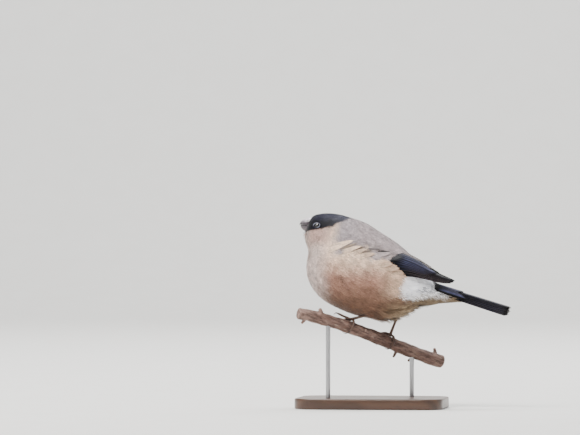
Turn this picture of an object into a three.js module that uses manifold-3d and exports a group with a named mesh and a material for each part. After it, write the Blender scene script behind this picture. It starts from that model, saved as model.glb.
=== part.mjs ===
// A female bullfinch, life size, perched on a short cut branch that two rods hold above a flat base.
// Millimetres, +Z up. The bird faces -X and is symmetric about Y = 0, apart from its legs.
// The origin is the centre of the base's underside.
import * as THREE from "three";
import Module from "manifold-3d";

const wasm = await Module();
wasm.setup();

// Driving dimensions

const GAP = 0.3; // between neighbouring pieces
const FEATHER = 0.55; // thickness of a flight or tail feather
const SLACK = 0.02; // slivers narrower than this are taken out after a union

// The plumage is one smooth form blended from ellipsoids in the middle plane.
// Each has its centre, half length, half height and half width, and how far its tail end tilts down.
const PLUMAGE = [
  { part: "skull", x: -28.2, z: 118.5, long: 13.7, high: 9.4, wide: 10.7, tilt: 0 },
  { part: "face", x: -36.4, z: 119.8, long: 5.2, high: 5.8, wide: 6.2, tilt: 0 },
  { part: "cheek", x: -30.8, z: 111.4, long: 12.8, high: 8.8, wide: 13.0, tilt: 0 },
  { part: "neck", x: -15.5, z: 107.2, long: 19.2, high: 16.8, wide: 19.5, tilt: 8 },
  { part: "breast", x: -16.3, z: 92.5, long: 27.0, high: 25.6, wide: 25.5, tilt: 0 },
  { part: "belly", x: -1.0, z: 86.0, long: 30.0, high: 25.8, wide: 27.0, tilt: 8 },
  { part: "loin", x: 10.0, z: 81.0, long: 21.0, high: 20.0, wide: 22.0, tilt: 0 },
  { part: "mantle", x: 4.0, z: 99.2, long: 27.4, high: 13.2, wide: 19.0, tilt: 37 },
  { part: "rump", x: 26.0, z: 82.0, long: 19.0, high: 10.5, wide: 13.0, tilt: 30 },
  { part: "vent", x: 38.0, z: 76.0, long: 23.5, high: 5.4, wide: 8.5, tilt: 8 },
];
const BLEND = 2.6; // how softly the ellipsoids run together
// The line inside the plumage that its rings are cast from: x, z and the slope of the ring's axis.
const KEEL = [
  [-34, 117.5, 18],
  [-30, 111.5, 30],
  [-22, 101.5, 33],
  [-9, 92, 31],
  [9, 83, 25],
  [26, 79, 20],
  [44, 75.5, 12],
];
const FACE_CAP = 0.16; // shares of the rings that close the face and the vent
const VENT_CAP = 0.88;
const PLUMAGE_CAST = { reach: 75, steps: 60, halvings: 24, normalStep: 0.05 };
const PLUMAGE_GRID = { rows: 36, sides: 32 };

// Planes that part the plumage: two points of each in the middle plane.
const NAPE_CUT = { from: [-15, 127.5], to: [-45, 108.5] };
const MANTLE_CUT = { from: [4, 121], to: [-45, 94] };
const RUMP_CUT = { from: [29, 100], to: [26, 60] };

const EYE = { x: -35.4, z: 120.6, radius: 2.4, sunk: 1.65 };
const LIDS = { radius: 2.0, tube: 0.5, stretch: [1.1, 0.94, 1.2] };

const BILL = {
  rootX: -35.5,
  baseX: -39.6,
  gapeZ: 120.2,
  edgeRise: 1.0,
  crownRise: 0.3, // of the upper half's arch over the gape
  hook: 0.35, // of the upper half's tip over the lower one
  turns: [0, 18, 36, 52, 66, 78, 87], // stations along the quarter ellipse, in degrees
  sides: 11,
  upper: { length: 8.2, height: 5.2, width: 4.1, droop: 1 },
  lower: { length: 7.3, height: 4.2, width: 3.8, droop: 1.4 },
  nostril: { x: -42.2, y: 2.7, z: 123.4, radius: 0.55 },
};

const TAIL = {
  root: [35, 0, 83.9],
  length: 59.5,
  slope: 16.8,
  pairs: 6,
  rootHalf: 1.6,
  tipHalf: 5.6,
  featherHalf: 2.5,
  layer: FEATHER + 0.32,
  arch: 0.8,
  longer: 0.3, // the middle pair than the tail's length, less by shorter for each pair after it
  shorter: 0.1,
};
const COVERTS = {
  count: 5,
  fan: 0.9,
  spread: 1.5,
  half: 2.3,
  length: 25,
  taper: 5,
  rise: 1.05,
  fall: 0.25,
  step: 0.3,
};
// The tail's root: places along the tail, size at each, half width, half height, and depth of its middle.
const TAIL_ROOT = {
  at: [-0.04, 0, 0.06, 0.12, 0.17],
  swell: [0.6, 1, 1.05, 0.95, 0.7],
  wide: 4.6,
  high: 3.7,
  depth: 2.3,
};
const TAIL_BED = { at: [0, 0.15, 0.3, 0.45, 0.6], over: 1.6, under: 0.1 };

// The folded left wing lies on a curved sheet between these two lines; the right one is its mirror image.
const WING = {
  upperLine: [
    [2, -16.4, 110],
    [12, -15.2, 105.4],
    [22, -12.2, 101],
    [31, -9.2, 96.4],
    [40, -6.8, 90.8],
    [47.5, -5.2, 87.2],
    [55, -3.4, 84],
  ],
  lowerLine: [
    [-2, -24.8, 93.5],
    [9, -23.8, 92],
    [19, -21.3, 89.4],
    [29, -17.2, 87.6],
    [38, -13.2, 85.6],
    [46.5, -9.2, 83.1],
    [54.5, -5, 81],
  ],
  bulge: 2.6,
  fullBulge: 14, // chord from which the bulge is full
  flare: 0.25, // how far the sheet looks forwards
  reach: 58,
  thickness: 2.6,
  rootRise: 0.35, // of the root's slab over the sheet
  rootEnd: 0.34,
  shingle: 15, // tilt of each vane, its lower edge outwards
  bed: { from: -0.01, over: 3, margin: 0.04 },
};

// Tiers of vanes: tertials, secondaries, primaries and greater coverts.
// Root and tip of the first and last vane are places on the wing's sheet: along it, then down it.
const TIERS = [
  {
    roots: [[0.2, 0.1], [0.2, 0.26]],
    tips: [[0.58, 0.06], [0.69, 0.24]],
    seed: 12,
    count: 3,
    half: 2.5,
    lift: 1.1,
  },
  {
    roots: [[0.2, 0.34], [0.16, 0.74]],
    tips: [[0.71, 0.32], [0.64, 0.7]],
    seed: 212,
    count: 6,
    half: 2.3,
    lift: 0.55,
  },
  {
    roots: [[0.22, 0.5], [0.12, 0.93]],
    tips: [[0.8, 0.42], [1.0, 0.62]],
    seed: 412,
    count: 8,
    half: 1.8,
    lift: 0,
  },
  {
    roots: [[0.06, 0.12], [0.04, 0.86]],
    tips: [[0.27, 0.2], [0.3, 0.9]],
    seed: 612,
    count: 6,
    half: 2.6,
    lift: 1.7,
  },
];
const VARY = { tip: 0.008, half: 0.08 }; // small differences from vane to vane

// The branch runs across the bird: heights of its centre line at even steps from left to right.
const PERCH = {
  middle: [-2.1, -0.75],
  yaw: 30,
  from: -50,
  to: 53,
  heightFrom: -52,
  heightTo: 56,
  heights: [63, 56.8, 47.8, 37.6, 29.5],
  radius: 3.9,
  endShare: 0.86, // size of the cut ends, and length over which they round off
  endLength: 0.7,
  knobs: [
    { at: -36, angle: -20, length: 2.2, radius: 1.3 },
    { at: -4, angle: -75, length: 1.3, radius: 1.2 },
    { at: 20.5, angle: -165, length: 3.6, radius: 1.0 },
    { at: 33, angle: 150, length: 2.6, radius: 1.1 },
    { at: 47, angle: 12, length: 2.4, radius: 1.3 },
    { at: -45, angle: 165, length: 2.4, radius: 1.0 },
  ],
};

const TOE = { radius: 0.68, swell: [1, 1.02, 1, 0.92] };
const PALM = { radius: 1.05, height: 1.35 };
const CLAW = { radius: 0.42, tip: 0.12 };
// Toe and claw routes on the branch: along it, round it in degrees, above its bark.
// Its top is at 0 degrees, its far side at 90.
const FEET = {
  left: {
    at: -14,
    heel: [3.4, -11.5, 62.9],
    thigh: [6, -10.5, 73],
    toes: {
      outer: [[0, 0, 1.3], [-3, 1, 1.5], [-6.5, 3, 1.8], [-9.4, 5, 2.6]],
      middle: [[0, 0, 1.3], [-2.6, 32, 1.2], [-5.4, 66, 1.05], [-7.4, 100, 1.05]],
      inner: [[0, 0, 1.3], [-0.4, 42, 1.2], [-0.8, 80, 1.05], [-1.2, 106, 1.05]],
      hind: [[0, 0, 1.3], [0.5, -40, 1.25], [0.4, -85, 1.05], [-0.3, -120, 1.05]],
    },
    claws: {
      outer: [[-9.9, 5, 2.75], [-11.4, 6, 2.4], [-12.3, 6, 0.7]],
      middle: [[-7.8, 107, 1.05], [-8.8, 130, 1.1], [-9.2, 152, 0.6]],
      inner: [[-1.4, 113, 1.05], [-2.0, 136, 1.1], [-2.2, 158, 0.6]],
      hind: [[-0.6, -128, 1.05], [-1.7, -150, 1.15], [-3.1, -172, 0.65]],
    },
  },
  right: {
    at: 13.6,
    heel: [17.2, 9.8, 64.2],
    thigh: [15, 10.5, 74],
    toes: {
      inner: [[0, 0, 1.3], [-2.6, 14, 1.3], [-5.2, 40, 1.1], [-7, 66, 1.05]],
      middle: [[0, 0, 1.3], [-1.4, 36, 1.2], [-3.0, 72, 1.05], [-4.2, 106, 1.05]],
      outer: [[0, 0, 1.3], [1.4, 36, 1.2], [2.4, 74, 1.05], [2.8, 106, 1.05]],
      hind: [[0, 0, 1.3], [1.2, -40, 1.25], [1.8, -85, 1.05], [1.6, -120, 1.05]],
    },
    claws: {
      inner: [[-7.5, 75, 1.05], [-8.6, 98, 1.1], [-9.1, 118, 0.6]],
      middle: [[-4.5, 114, 1.05], [-5.2, 138, 1.1], [-5.5, 160, 0.6]],
      outer: [[2.9, 114, 1.05], [3.0, 138, 1.1], [2.8, 160, 0.6]],
      hind: [[1.4, -128, 1.05], [0.4, -150, 1.15], [-0.9, -172, 0.65]],
    },
  },
};
const TARSUS = { radius: 0.8, joint: 1.1, fromPalm: 1.05 };
const THIGH = { radii: [3.4, 4.0, 3.4, 2.3], past: 0.4 };

const BASE = { length: 98, width: 64, height: 7, corner: 14, bevel: 1 };
const RODS = [
  { name: "stand_rod_front", at: -29 },
  { name: "stand_rod_rear", at: 31 },
];
const ROD = { radius: 1.5, inBase: 4, inPerch: 2.6 };

// Small tools

const radians = THREE.MathUtils.degToRad;
const vec = (x, y, z) => new THREE.Vector3(x, y, z);
const mix = (a, b, t) => a + (b - a) * t;
const clamp = THREE.MathUtils.clamp;
// The same small difference from a seed each time.
const vary = (seed, amount) => amount * (2 * THREE.MathUtils.seededRandom(seed) - 1);

// Catmull-Rom through rows of numbers, t from 0 to 1.
function along(rows, t) {
  const last = rows.length - 1;
  const place = clamp(t, 0, 1) * last;
  const i = Math.min(Math.floor(place), last - 1);
  const f = place - i;
  const at = (k) => rows[clamp(k, 0, last)];
  const [p0, p1, p2, p3] = [at(i - 1), at(i), at(i + 1), at(i + 2)];
  return p1.map(
    (_, n) =>
      0.5 *
      (2 * p1[n] +
        (p2[n] - p0[n]) * f +
        (2 * p0[n] - 5 * p1[n] + 4 * p2[n] - p3[n]) * f * f +
        (3 * p1[n] - p0[n] - 3 * p2[n] + p3[n]) * f * f * f),
  );
}

// A solid through rings of as many points each. Ends close on a given point or on the ring's middle.
// Sides in flips are split along their other diagonal, so that both faces of a thin vane split alike.
function ringSolid(rings, { start, end, flips = [] } = {}) {
  const size = rings[0].length;
  const points = rings.flat();
  const faces = [];
  const middle = (ring) => ring.reduce((sum, p) => sum.add(p), vec(0, 0, 0)).divideScalar(ring.length);
  for (let i = 0; i + 1 < rings.length; i++) {
    for (let k = 0; k < size; k++) {
      const [a, b] = [i * size + k, i * size + ((k + 1) % size)];
      const [c, d] = [b + size, a + size];
      if (flips.includes(k)) faces.push([a, b, d], [b, c, d]);
      else faces.push([a, b, c], [a, c, d]);
    }
  }
  const startAt = points.push(start ?? middle(rings[0])) - 1;
  const endAt = points.push(end ?? middle(rings.at(-1))) - 1;
  const lastRing = (rings.length - 1) * size;
  for (let k = 0; k < size; k++) {
    const next = (k + 1) % size;
    faces.push([startAt, next, k], [endAt, lastRing + k, lastRing + next]);
  }
  return solidOf(points, faces);
}

function solidOf(points, faces) {
  let volume = 0;
  for (const [a, b, c] of faces) volume += points[a].dot(points[b].clone().cross(points[c]));
  const turned = volume < 0 ? faces.map(([a, b, c]) => [a, c, b]) : faces;
  return new wasm.Manifold(
    new wasm.Mesh({
      numProp: 3,
      vertProperties: new Float32Array(points.flatMap((p) => [p.x, p.y, p.z])),
      triVerts: new Uint32Array(turned.flat()),
    }),
  );
}

// The solid of a three.js geometry whose shared vertices are found by their place.
function solidFrom(geometry) {
  const loose = geometry.index ? geometry.toNonIndexed() : geometry;
  const place = loose.getAttribute("position");
  const seen = new Map();
  const points = [];
  const corners = [];
  for (let i = 0; i < place.count; i++) {
    const p = new THREE.Vector3().fromBufferAttribute(place, i);
    const key = p.toArray().map((v) => Math.round(v * 1e4)).join();
    if (!seen.has(key)) seen.set(key, points.push(p) - 1);
    corners.push(seen.get(key));
  }
  const faces = [];
  for (let i = 0; i < corners.length; i += 3) {
    const [a, b, c] = corners.slice(i, i + 3);
    if (a !== b && b !== c && a !== c) faces.push([a, b, c]);
  }
  return solidOf(points, faces);
}

const union = (solids) => solids.reduce((sum, s) => sum.add(s));
const mirrored = (solid) => solid.scale([1, -1, 1]);

// Only the largest closed surface is kept, without the slivers that unions leave.
function whole(solid) {
  const pieces = solid.decompose();
  const largest = pieces.reduce((best, s) => (s.volume() > best.volume() ? s : best));
  return largest.asOriginal().simplify(SLACK);
}

// The side of the solid that lies ahead of a cut through two points of the middle plane, or behind it.
function cutBy(solid, { from, to }, ahead) {
  const across = new THREE.Vector2(to[0] - from[0], to[1] - from[1]).normalize();
  const normal = new THREE.Vector2(across.y, -across.x).multiplyScalar(ahead ? 1 : -1);
  const offset = normal.x * from[0] + normal.y * from[1];
  return solid.trimByPlane([normal.x, 0, normal.y], offset + GAP / 2);
}

// A tube along points, with a radius at each of them.
function tube(path, radii, sides) {
  const curve = new THREE.CatmullRomCurve3(path);
  const steps = (path.length - 1) * 2;
  const frames = curve.computeFrenetFrames(steps, false);
  const rings = [];
  for (let i = 0; i <= steps; i++) {
    const t = i / steps;
    const centre = curve.getPoint(t);
    const [radius] = along(radii.map((r) => [r]), t);
    rings.push(
      Array.from({ length: sides }, (_, k) => {
        const a = (2 * Math.PI * k) / sides;
        return centre
          .clone()
          .addScaledVector(frames.normals[i], Math.cos(a) * radius)
          .addScaledVector(frames.binormals[i], Math.sin(a) * radius);
      }),
    );
  }
  return ringSolid(rings);
}

function ball(centre, radius, sides, rows) {
  return solidFrom(new THREE.SphereGeometry(radius, sides, rows).translate(centre.x, centre.y, centre.z));
}

// Plumage

// Below zero inside the plumage, above zero outside.
function plumageField(p) {
  let sum = 0;
  for (const e of PLUMAGE) {
    const [c, s] = [Math.cos(radians(e.tilt)), Math.sin(radians(e.tilt))];
    const [dx, dz] = [p.x - e.x, p.z - e.z];
    const [a, b, y] = [(dx * c - dz * s) / e.long, (dx * s + dz * c) / e.high, p.y / e.wide];
    const q = Math.hypot(a, b, y) + 1e-9;
    const slope = Math.hypot(a / e.long, b / e.high, y / e.wide) / q + 1e-9;
    sum += Math.exp(-clamp((q - 1) / slope, -40, 90) / BLEND);
  }
  return -BLEND * Math.log(sum);
}

// The outermost point of the plumage on a ray.
function castOut(origin, direction) {
  const at = (r) => plumageField(origin.clone().addScaledVector(direction, r));
  let far = PLUMAGE_CAST.reach;
  let near = 0;
  for (let k = 1; k <= PLUMAGE_CAST.steps; k++) {
    const r = PLUMAGE_CAST.reach * (1 - k / PLUMAGE_CAST.steps);
    if (at(r) < 0) {
      near = r;
      break;
    }
    far = r;
  }
  for (let k = 0; k < PLUMAGE_CAST.halvings; k++) {
    const half = (near + far) / 2;
    if (at(half) < 0) near = half;
    else far = half;
  }
  return origin.clone().addScaledVector(direction, near);
}

// A point of the plumage: s runs from the face to the vent, angle round the body from the back.
function plumagePoint(s, angle) {
  const [x, z, slope] = along(KEEL, (s - FACE_CAP) / (VENT_CAP - FACE_CAP));
  const forward = vec(-Math.cos(radians(slope)), 0, Math.sin(radians(slope)));
  const up = vec(forward.z, 0, -forward.x);
  let swing = Math.PI / 2;
  if (s < FACE_CAP) swing = ((s / FACE_CAP) * Math.PI) / 2;
  if (s > VENT_CAP) swing = (1 + (s - VENT_CAP) / (1 - VENT_CAP)) * (Math.PI / 2);
  const direction = forward
    .multiplyScalar(Math.cos(swing))
    .addScaledVector(up, Math.sin(swing) * Math.cos(angle))
    .addScaledVector(vec(0, 1, 0), Math.sin(swing) * Math.sin(angle));
  return castOut(vec(x, 0, z), direction);
}

function plumage() {
  const { rows, sides } = PLUMAGE_GRID;
  const rings = [];
  for (let i = 1; i < rows; i++) {
    const angles = Array.from({ length: sides }, (_, k) => (2 * Math.PI * k) / sides);
    rings.push(angles.map((angle) => plumagePoint(i / rows, angle)));
  }
  return ringSolid(rings, { start: plumagePoint(0, 0), end: plumagePoint(1, 0) });
}

function plumageNormal(p) {
  const step = PLUMAGE_CAST.normalStep;
  const beside = (axis, d) => plumageField(p.clone().addScaledVector(axis, d));
  const slope = (axis) => beside(axis, step) - beside(axis, -step);
  return vec(slope(vec(1, 0, 0)), slope(vec(0, 1, 0)), slope(vec(0, 0, 1))).normalize();
}

// How far the plumage reaches sideways from the middle plane.
const halfWidth = (x, z) => castOut(vec(x, 0, z), vec(0, 1, 0)).y;

// Eyes and lids

// The left eye's place on the plumage and the way it looks.
function eyePlace() {
  const at = vec(EYE.x, -halfWidth(EYE.x, EYE.z), EYE.z);
  return { at, out: plumageNormal(at) };
}

function eye(clearance = 0) {
  const { at, out } = eyePlace();
  return ball(at.addScaledVector(out, -EYE.sunk), EYE.radius + clearance, 14, 8);
}

// Both lids of the left eye, one ring drawn out towards its corners.
function lids() {
  const { at, out } = eyePlace();
  const ring = new THREE.TorusGeometry(LIDS.radius, LIDS.tube, 5, 14).scale(...LIDS.stretch);
  const frame = new THREE.Matrix4().lookAt(out, vec(0, 0, 0), vec(0, 0, 1)).setPosition(at);
  return solidFrom(ring.applyMatrix4(frame));
}

// Bill

// One half of the bill: rings of an arch and its flat edge, along a quarter of an ellipse to the tip.
function billHalf(shape, upward, clearance = 0) {
  const stations = [BILL.rootX, (BILL.rootX + BILL.baseX) / 2].map((x) => ({ x, turn: 0 }));
  for (const turn of BILL.turns) {
    stations.push({ x: BILL.baseX - shape.length * Math.sin(radians(turn)), turn });
  }
  const grown = (n) => n + clearance;
  const rings = stations.map(({ x, turn }, i) => {
    const swell = Math.cos(radians(turn)) ** shape.droop;
    const edge = BILL.gapeZ + BILL.edgeRise * Math.sin(radians(Math.min(turn, 70)) * 1.2);
    const hook = i === stations.length - 1 ? BILL.hook : 0;
    const flatEdge = upward ? edge - hook - clearance : edge - GAP + clearance;
    const crown = upward
      ? BILL.gapeZ + BILL.crownRise + grown(shape.height * swell)
      : BILL.gapeZ - GAP - grown(shape.height * swell);
    const reach = Math.max(Math.abs(crown - flatEdge), 0.35) * (upward ? 1 : -1);
    const half = grown(Math.max(shape.width * swell ** 0.8, 0.3));
    return Array.from({ length: BILL.sides }, (_, k) => {
      const a = (Math.PI * k) / (BILL.sides - 1);
      return vec(x, half * Math.cos(a), flatEdge + reach * Math.sin(a));
    });
  });
  if (clearance) {
    rings.unshift(rings[0].map((p) => p.clone().add(vec(clearance, 0, 0))));
    rings.push(rings.at(-1).map((p) => p.clone().add(vec(-clearance, 0, 0))));
  }
  return ringSolid(rings);
}

function upperBill() {
  const { x, y, z, radius } = BILL.nostril;
  const pits = [-1, 1].map((side) => ball(vec(x, side * y, z), radius, 8, 6));
  return pits.reduce((bill, pit) => bill.subtract(pit), billHalf(BILL.upper, true));
}

// Feathers

// A thin vane along centre points, each with its sideways direction, outward normal and half width.
function vane(stations, thickness, clearance = 0) {
  const rings = stations.map(({ centre, side, out, half }) => {
    const reach = half + clearance;
    const depth = thickness + clearance;
    const corner = (across, outward) =>
      centre.clone().addScaledVector(side, across).addScaledVector(out, outward);
    const upper = [corner(-reach, clearance), corner(reach, clearance)];
    return [...upper, corner(reach, -depth), corner(-reach, -depth)];
  });
  return ringSolid(rings, { flips: [2] });
}

// Half width of a feather along its length: slim root, even web, round tip.
function webShape(t) {
  const tip = Math.max(t - 0.72, 0) / 0.31;
  return mix(0.55, 1, clamp(t / 0.35, 0, 1)) * Math.sqrt(1 - tip ** 2);
}

const WEB_STEPS = [0, 0.33, 0.7, 0.9, 1];

// A point of the folded wing's sheet with its frame: u along the wing, v from its upper to its lower line.
function wingSheet(u, v, lift) {
  const at = (uu, vv) => {
    const a = vec(...along(WING.upperLine, uu));
    const b = vec(...along(WING.lowerLine, uu));
    const chord = b.clone().sub(a);
    const outward = vec(-WING.flare, chord.z, -chord.y).normalize();
    if (outward.y > 0) outward.multiplyScalar(-1);
    const share = Math.min(1, chord.length() / WING.fullBulge);
    return a.addScaledVector(chord, vv).addScaledVector(outward, WING.bulge * share * 4 * vv * (1 - vv));
  };
  const step = 0.01;
  const inside = clamp(u, 0, 1);
  const back = at(inside + step, v).sub(at(inside - step, v)).normalize();
  const point = at(inside, v).addScaledVector(back, (u - inside) * WING.reach);
  const down = at(inside, v + step).sub(at(inside, v - step)).normalize();
  const out = back.clone().cross(down).normalize();
  if (out.y > 0) out.multiplyScalar(-1);
  return { point: point.addScaledVector(out, lift), back, out };
}

function wingVane(root, tip, half, lift, clearance = 0) {
  const stations = WEB_STEPS.map((t) => {
    const rise = lift * mix(0.4, 1, Math.min(1, t * 2));
    const { point, out } = wingSheet(mix(root[0], tip[0], t), mix(root[1], tip[1], t), rise);
    return { centre: point, out, t };
  });
  stations.forEach((s, i) => {
    const next = stations[Math.min(i + 1, stations.length - 1)].centre;
    const before = stations[Math.max(i - 1, 0)].centre;
    const line = next.clone().sub(before).normalize();
    s.side = s.out.clone().cross(line).normalize();
    // Sideways is downwards, so that the shingle tilt lifts the lower edge.
    if (s.side.z > 0) s.side.multiplyScalar(-1);
    const turn = s.side.clone().cross(s.out).dot(line) > 0 ? 1 : -1;
    s.side.applyAxisAngle(line, radians(WING.shingle) * turn);
    s.out = s.out.clone().addScaledVector(s.side, -s.out.dot(s.side)).normalize();
    s.half = half * webShape(s.t);
  });
  return vane(stations, FEATHER, clearance);
}

function tierVanes(tier, clearance = 0) {
  return Array.from({ length: tier.count }, (_, k) => {
    const t = k / (tier.count - 1);
    const seed = tier.seed + 3 * k;
    const between = ([from, to]) => from.map((n, i) => mix(n, to[i], t));
    const tip = between(tier.tips).map((n, i) => n + vary(seed + i, VARY.tip));
    return wingVane(between(tier.roots), tip, tier.half + vary(seed + 2, VARY.half), tier.lift, clearance);
  });
}

// The sheet made solid between two places along the wing.
function wingSlab(uFrom, uTo, outer, inner, margin) {
  const steps = Math.max(3, Math.round((uTo - uFrom) * 12));
  const across = 6;
  const rings = [];
  for (let i = 0; i <= steps; i++) {
    const u = mix(uFrom, uTo, i / steps);
    const shares = Array.from({ length: across + 1 }, (_, k) => mix(-margin, 1 + margin, k / across));
    const top = shares.map((v) => wingSheet(u, v, outer).point);
    const under = shares.map((v) => wingSheet(u, v, -inner).point).reverse();
    rings.push([...top, ...under]);
  }
  const bottomSides = Array.from({ length: across }, (_, k) => across + 1 + k);
  return ringSolid(rings, { flips: bottomSides });
}

function leftWing() {
  const root = wingSlab(0, WING.rootEnd, WING.rootRise, WING.thickness, 0);
  return whole(union([root, ...TIERS.flatMap((tier) => tierVanes(tier))]));
}

// What the left wing takes out of the plumage round it.
function leftWingBed() {
  const { from, over, margin } = WING.bed;
  const bed = wingSlab(from, 1, over, WING.thickness + GAP, margin);
  return union([bed, ...TIERS.flatMap((tier) => tierVanes(tier, GAP))]);
}

// Tail

// Frame of the tail's fan: u along it, v from -1 to 1 across it, layers deeper under the middle pair.
function tailPlace(u, v, depth) {
  const slope = radians(TAIL.slope);
  const back = vec(Math.cos(slope), 0, -Math.sin(slope));
  const up = vec(Math.sin(slope), 0, Math.cos(slope));
  const half = mix(TAIL.rootHalf, TAIL.tipHalf, u);
  const point = vec(...TAIL.root)
    .addScaledVector(back, u * TAIL.length)
    .addScaledVector(vec(0, 1, 0), v * half)
    .addScaledVector(up, -depth - TAIL.arch * v * v * u);
  const roll = -Math.atan2(2 * TAIL.arch * v * u, half);
  return { point, back, side: vec(0, 1, 0).applyAxisAngle(back, roll), out: up.applyAxisAngle(back, roll) };
}

function tailFeather(v, depth, length, half, clearance = 0) {
  const web = (t) => mix(0.45, 1, clamp(t / 0.5, 0, 1)) * mix(1, 0.62, clamp((t - 0.9) / 0.1, 0, 1));
  const stations = WEB_STEPS.map((t) => {
    const { point, side, out } = tailPlace(t * (length / TAIL.length), v, depth);
    return { centre: point, side, out, half: half * web(t) };
  });
  return vane(stations, FEATHER, clearance);
}

function tailFeathers(clearance = 0) {
  const made = [];
  for (let k = 0; k < TAIL.pairs; k++) {
    for (const side of [-1, 1]) {
      const v = side * mix(0.2, 1, k / (TAIL.pairs - 1));
      // The left one of the middle pair lies under the right one.
      const nudge = k === 0 && side < 0 ? TAIL.layer / 2 : 0;
      const length = TAIL.length + TAIL.longer - TAIL.shorter * k;
      made.push(tailFeather(v, k * TAIL.layer + nudge, length, TAIL.featherHalf, clearance));
    }
  }
  return made;
}

function tailCoverts(clearance = 0) {
  return Array.from({ length: COVERTS.count }, (_, k) => {
    const v = mix(-COVERTS.fan, COVERTS.fan, k / (COVERTS.count - 1));
    const depth = -TAIL.layer * (COVERTS.rise - COVERTS.fall * Math.abs(v)) - (k % 2) * COVERTS.step;
    const length = COVERTS.length - COVERTS.taper * Math.abs(v);
    return tailFeather(v * COVERTS.spread, depth, length, COVERTS.half, clearance);
  });
}

function tailRoot(clearance = 0) {
  const last = TAIL_ROOT.at.length - 1;
  const sides = 12;
  const rings = TAIL_ROOT.at.map((u, i) => {
    const swell = TAIL_ROOT.swell[i];
    const { point, back, side, out } = tailPlace(u, 0, TAIL_ROOT.depth);
    if (i === 0) point.addScaledVector(back, -clearance);
    if (i === last) point.addScaledVector(back, clearance);
    return Array.from({ length: sides }, (_, k) => {
      const a = (2 * Math.PI * k) / sides;
      return point
        .clone()
        .addScaledVector(side, (TAIL_ROOT.wide * swell + clearance) * Math.cos(a))
        .addScaledVector(out, (TAIL_ROOT.high * swell + clearance) * Math.sin(a));
    });
  });
  return ringSolid(rings);
}

const tail = () => whole(union([tailRoot(), ...tailFeathers(), ...tailCoverts()]));

// Room for the tail in the plumage: one smooth arched slab in place of each feather's own slot.
function tailBed() {
  const across = 8;
  const lowest = (TAIL.pairs - 1) * TAIL.layer + FEATHER + GAP + TAIL_BED.under;
  const rings = TAIL_BED.at.map((u) => {
    const reach = 1 + (TAIL.featherHalf + GAP) / mix(TAIL.rootHalf, TAIL.tipHalf, u);
    const shares = Array.from({ length: across + 1 }, (_, k) => mix(-reach, reach, k / across));
    const top = shares.map((v) => tailPlace(u, v, -TAIL.layer * TAIL_BED.over).point);
    const under = shares.map((v) => tailPlace(u, v, lowest).point).reverse();
    return [...top, ...under];
  });
  const bottomSides = Array.from({ length: across }, (_, k) => across + 1 + k);
  return union([ringSolid(rings, { flips: bottomSides }), tailRoot(GAP), ...tailCoverts(GAP)]);
}

// Perch

function perchCentre(l) {
  const yaw = radians(PERCH.yaw);
  const t = (l - PERCH.heightFrom) / (PERCH.heightTo - PERCH.heightFrom);
  const [z] = along(PERCH.heights.map((h) => [h]), t);
  return vec(PERCH.middle[0] + l * Math.cos(yaw), PERCH.middle[1] + l * Math.sin(yaw), z);
}

function perchFrame(l) {
  const yaw = radians(PERCH.yaw);
  const line = perchCentre(l + 0.5).sub(perchCentre(l - 0.5)).normalize();
  const across = vec(-Math.sin(yaw), Math.cos(yaw), 0);
  return { line, across, up: line.clone().cross(across) };
}

const perchRadius = (l, angle) =>
  PERCH.radius + 0.16 * Math.sin(l * 0.31 + 2 * angle) + 0.1 * Math.sin(l * 0.83 - angle) + 0.004 * (l + 50);

function onPerch(l, degrees, height) {
  const { across, up } = perchFrame(l);
  const a = radians(degrees);
  const reach = perchRadius(l, a) + height;
  return perchCentre(l)
    .addScaledVector(up, reach * Math.cos(a))
    .addScaledVector(across, reach * Math.sin(a));
}

function perch() {
  const [steps, sides] = [20, 12];
  const rings = [];
  const ring = (l, share) =>
    Array.from({ length: sides }, (_, k) => {
      const degrees = (360 * k) / sides;
      return onPerch(l, degrees, (share - 1) * PERCH.radius);
    });
  rings.push(ring(PERCH.from, PERCH.endShare));
  const [first, last] = [PERCH.from + PERCH.endLength, PERCH.to - PERCH.endLength];
  for (let i = 0; i <= steps; i++) rings.push(ring(mix(first, last, i / steps), 1));
  rings.push(ring(PERCH.to, PERCH.endShare));
  const knobs = PERCH.knobs.map(({ at, angle, length, radius }) =>
    tube(
      [-1.5, 0, length * 0.6, length].map((h, i) => onPerch(at - i * 0.35, angle, h)),
      [radius * 1.25, radius, radius * 0.75, radius * 0.35],
      5,
    ),
  );
  return union([ringSolid(rings), ...knobs]);
}

// Legs

const routeOf = (foot, rows) => rows.map(([l, degrees, height]) => onPerch(foot.at + l, degrees, height));

function foot(side) {
  const here = FEET[side];
  const palm = ball(onPerch(here.at, 0, PALM.height), PALM.radius, 8, 6);
  const radii = TOE.swell.map((r) => r * TOE.radius);
  const toes = Object.values(here.toes).map((rows) => tube(routeOf(here, rows), radii, 6));
  return whole(union([palm, ...toes]).subtract(tarsus(side, GAP)));
}

function claw(side, toe) {
  const here = FEET[side];
  return tube(routeOf(here, here.claws[toe]), [CLAW.radius, CLAW.radius * 0.72, CLAW.tip], 6);
}

function tarsus(side, clearance = 0) {
  const here = FEET[side];
  const ankle = onPerch(here.at, 0, PALM.height);
  const heel = vec(...here.heel);
  const line = heel.clone().sub(ankle).normalize();
  const from = ankle.clone().addScaledVector(line, TARSUS.fromPalm + GAP - clearance);
  const to = heel.clone().addScaledVector(line, clearance);
  const path = [0, 0.33, 0.66, 1].map((t) => from.clone().lerp(to, t));
  const radii = [TARSUS.joint * 0.85, TARSUS.radius, TARSUS.radius * 1.05, TARSUS.joint];
  return tube(path, radii.map((r) => r + clearance), 8);
}

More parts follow.
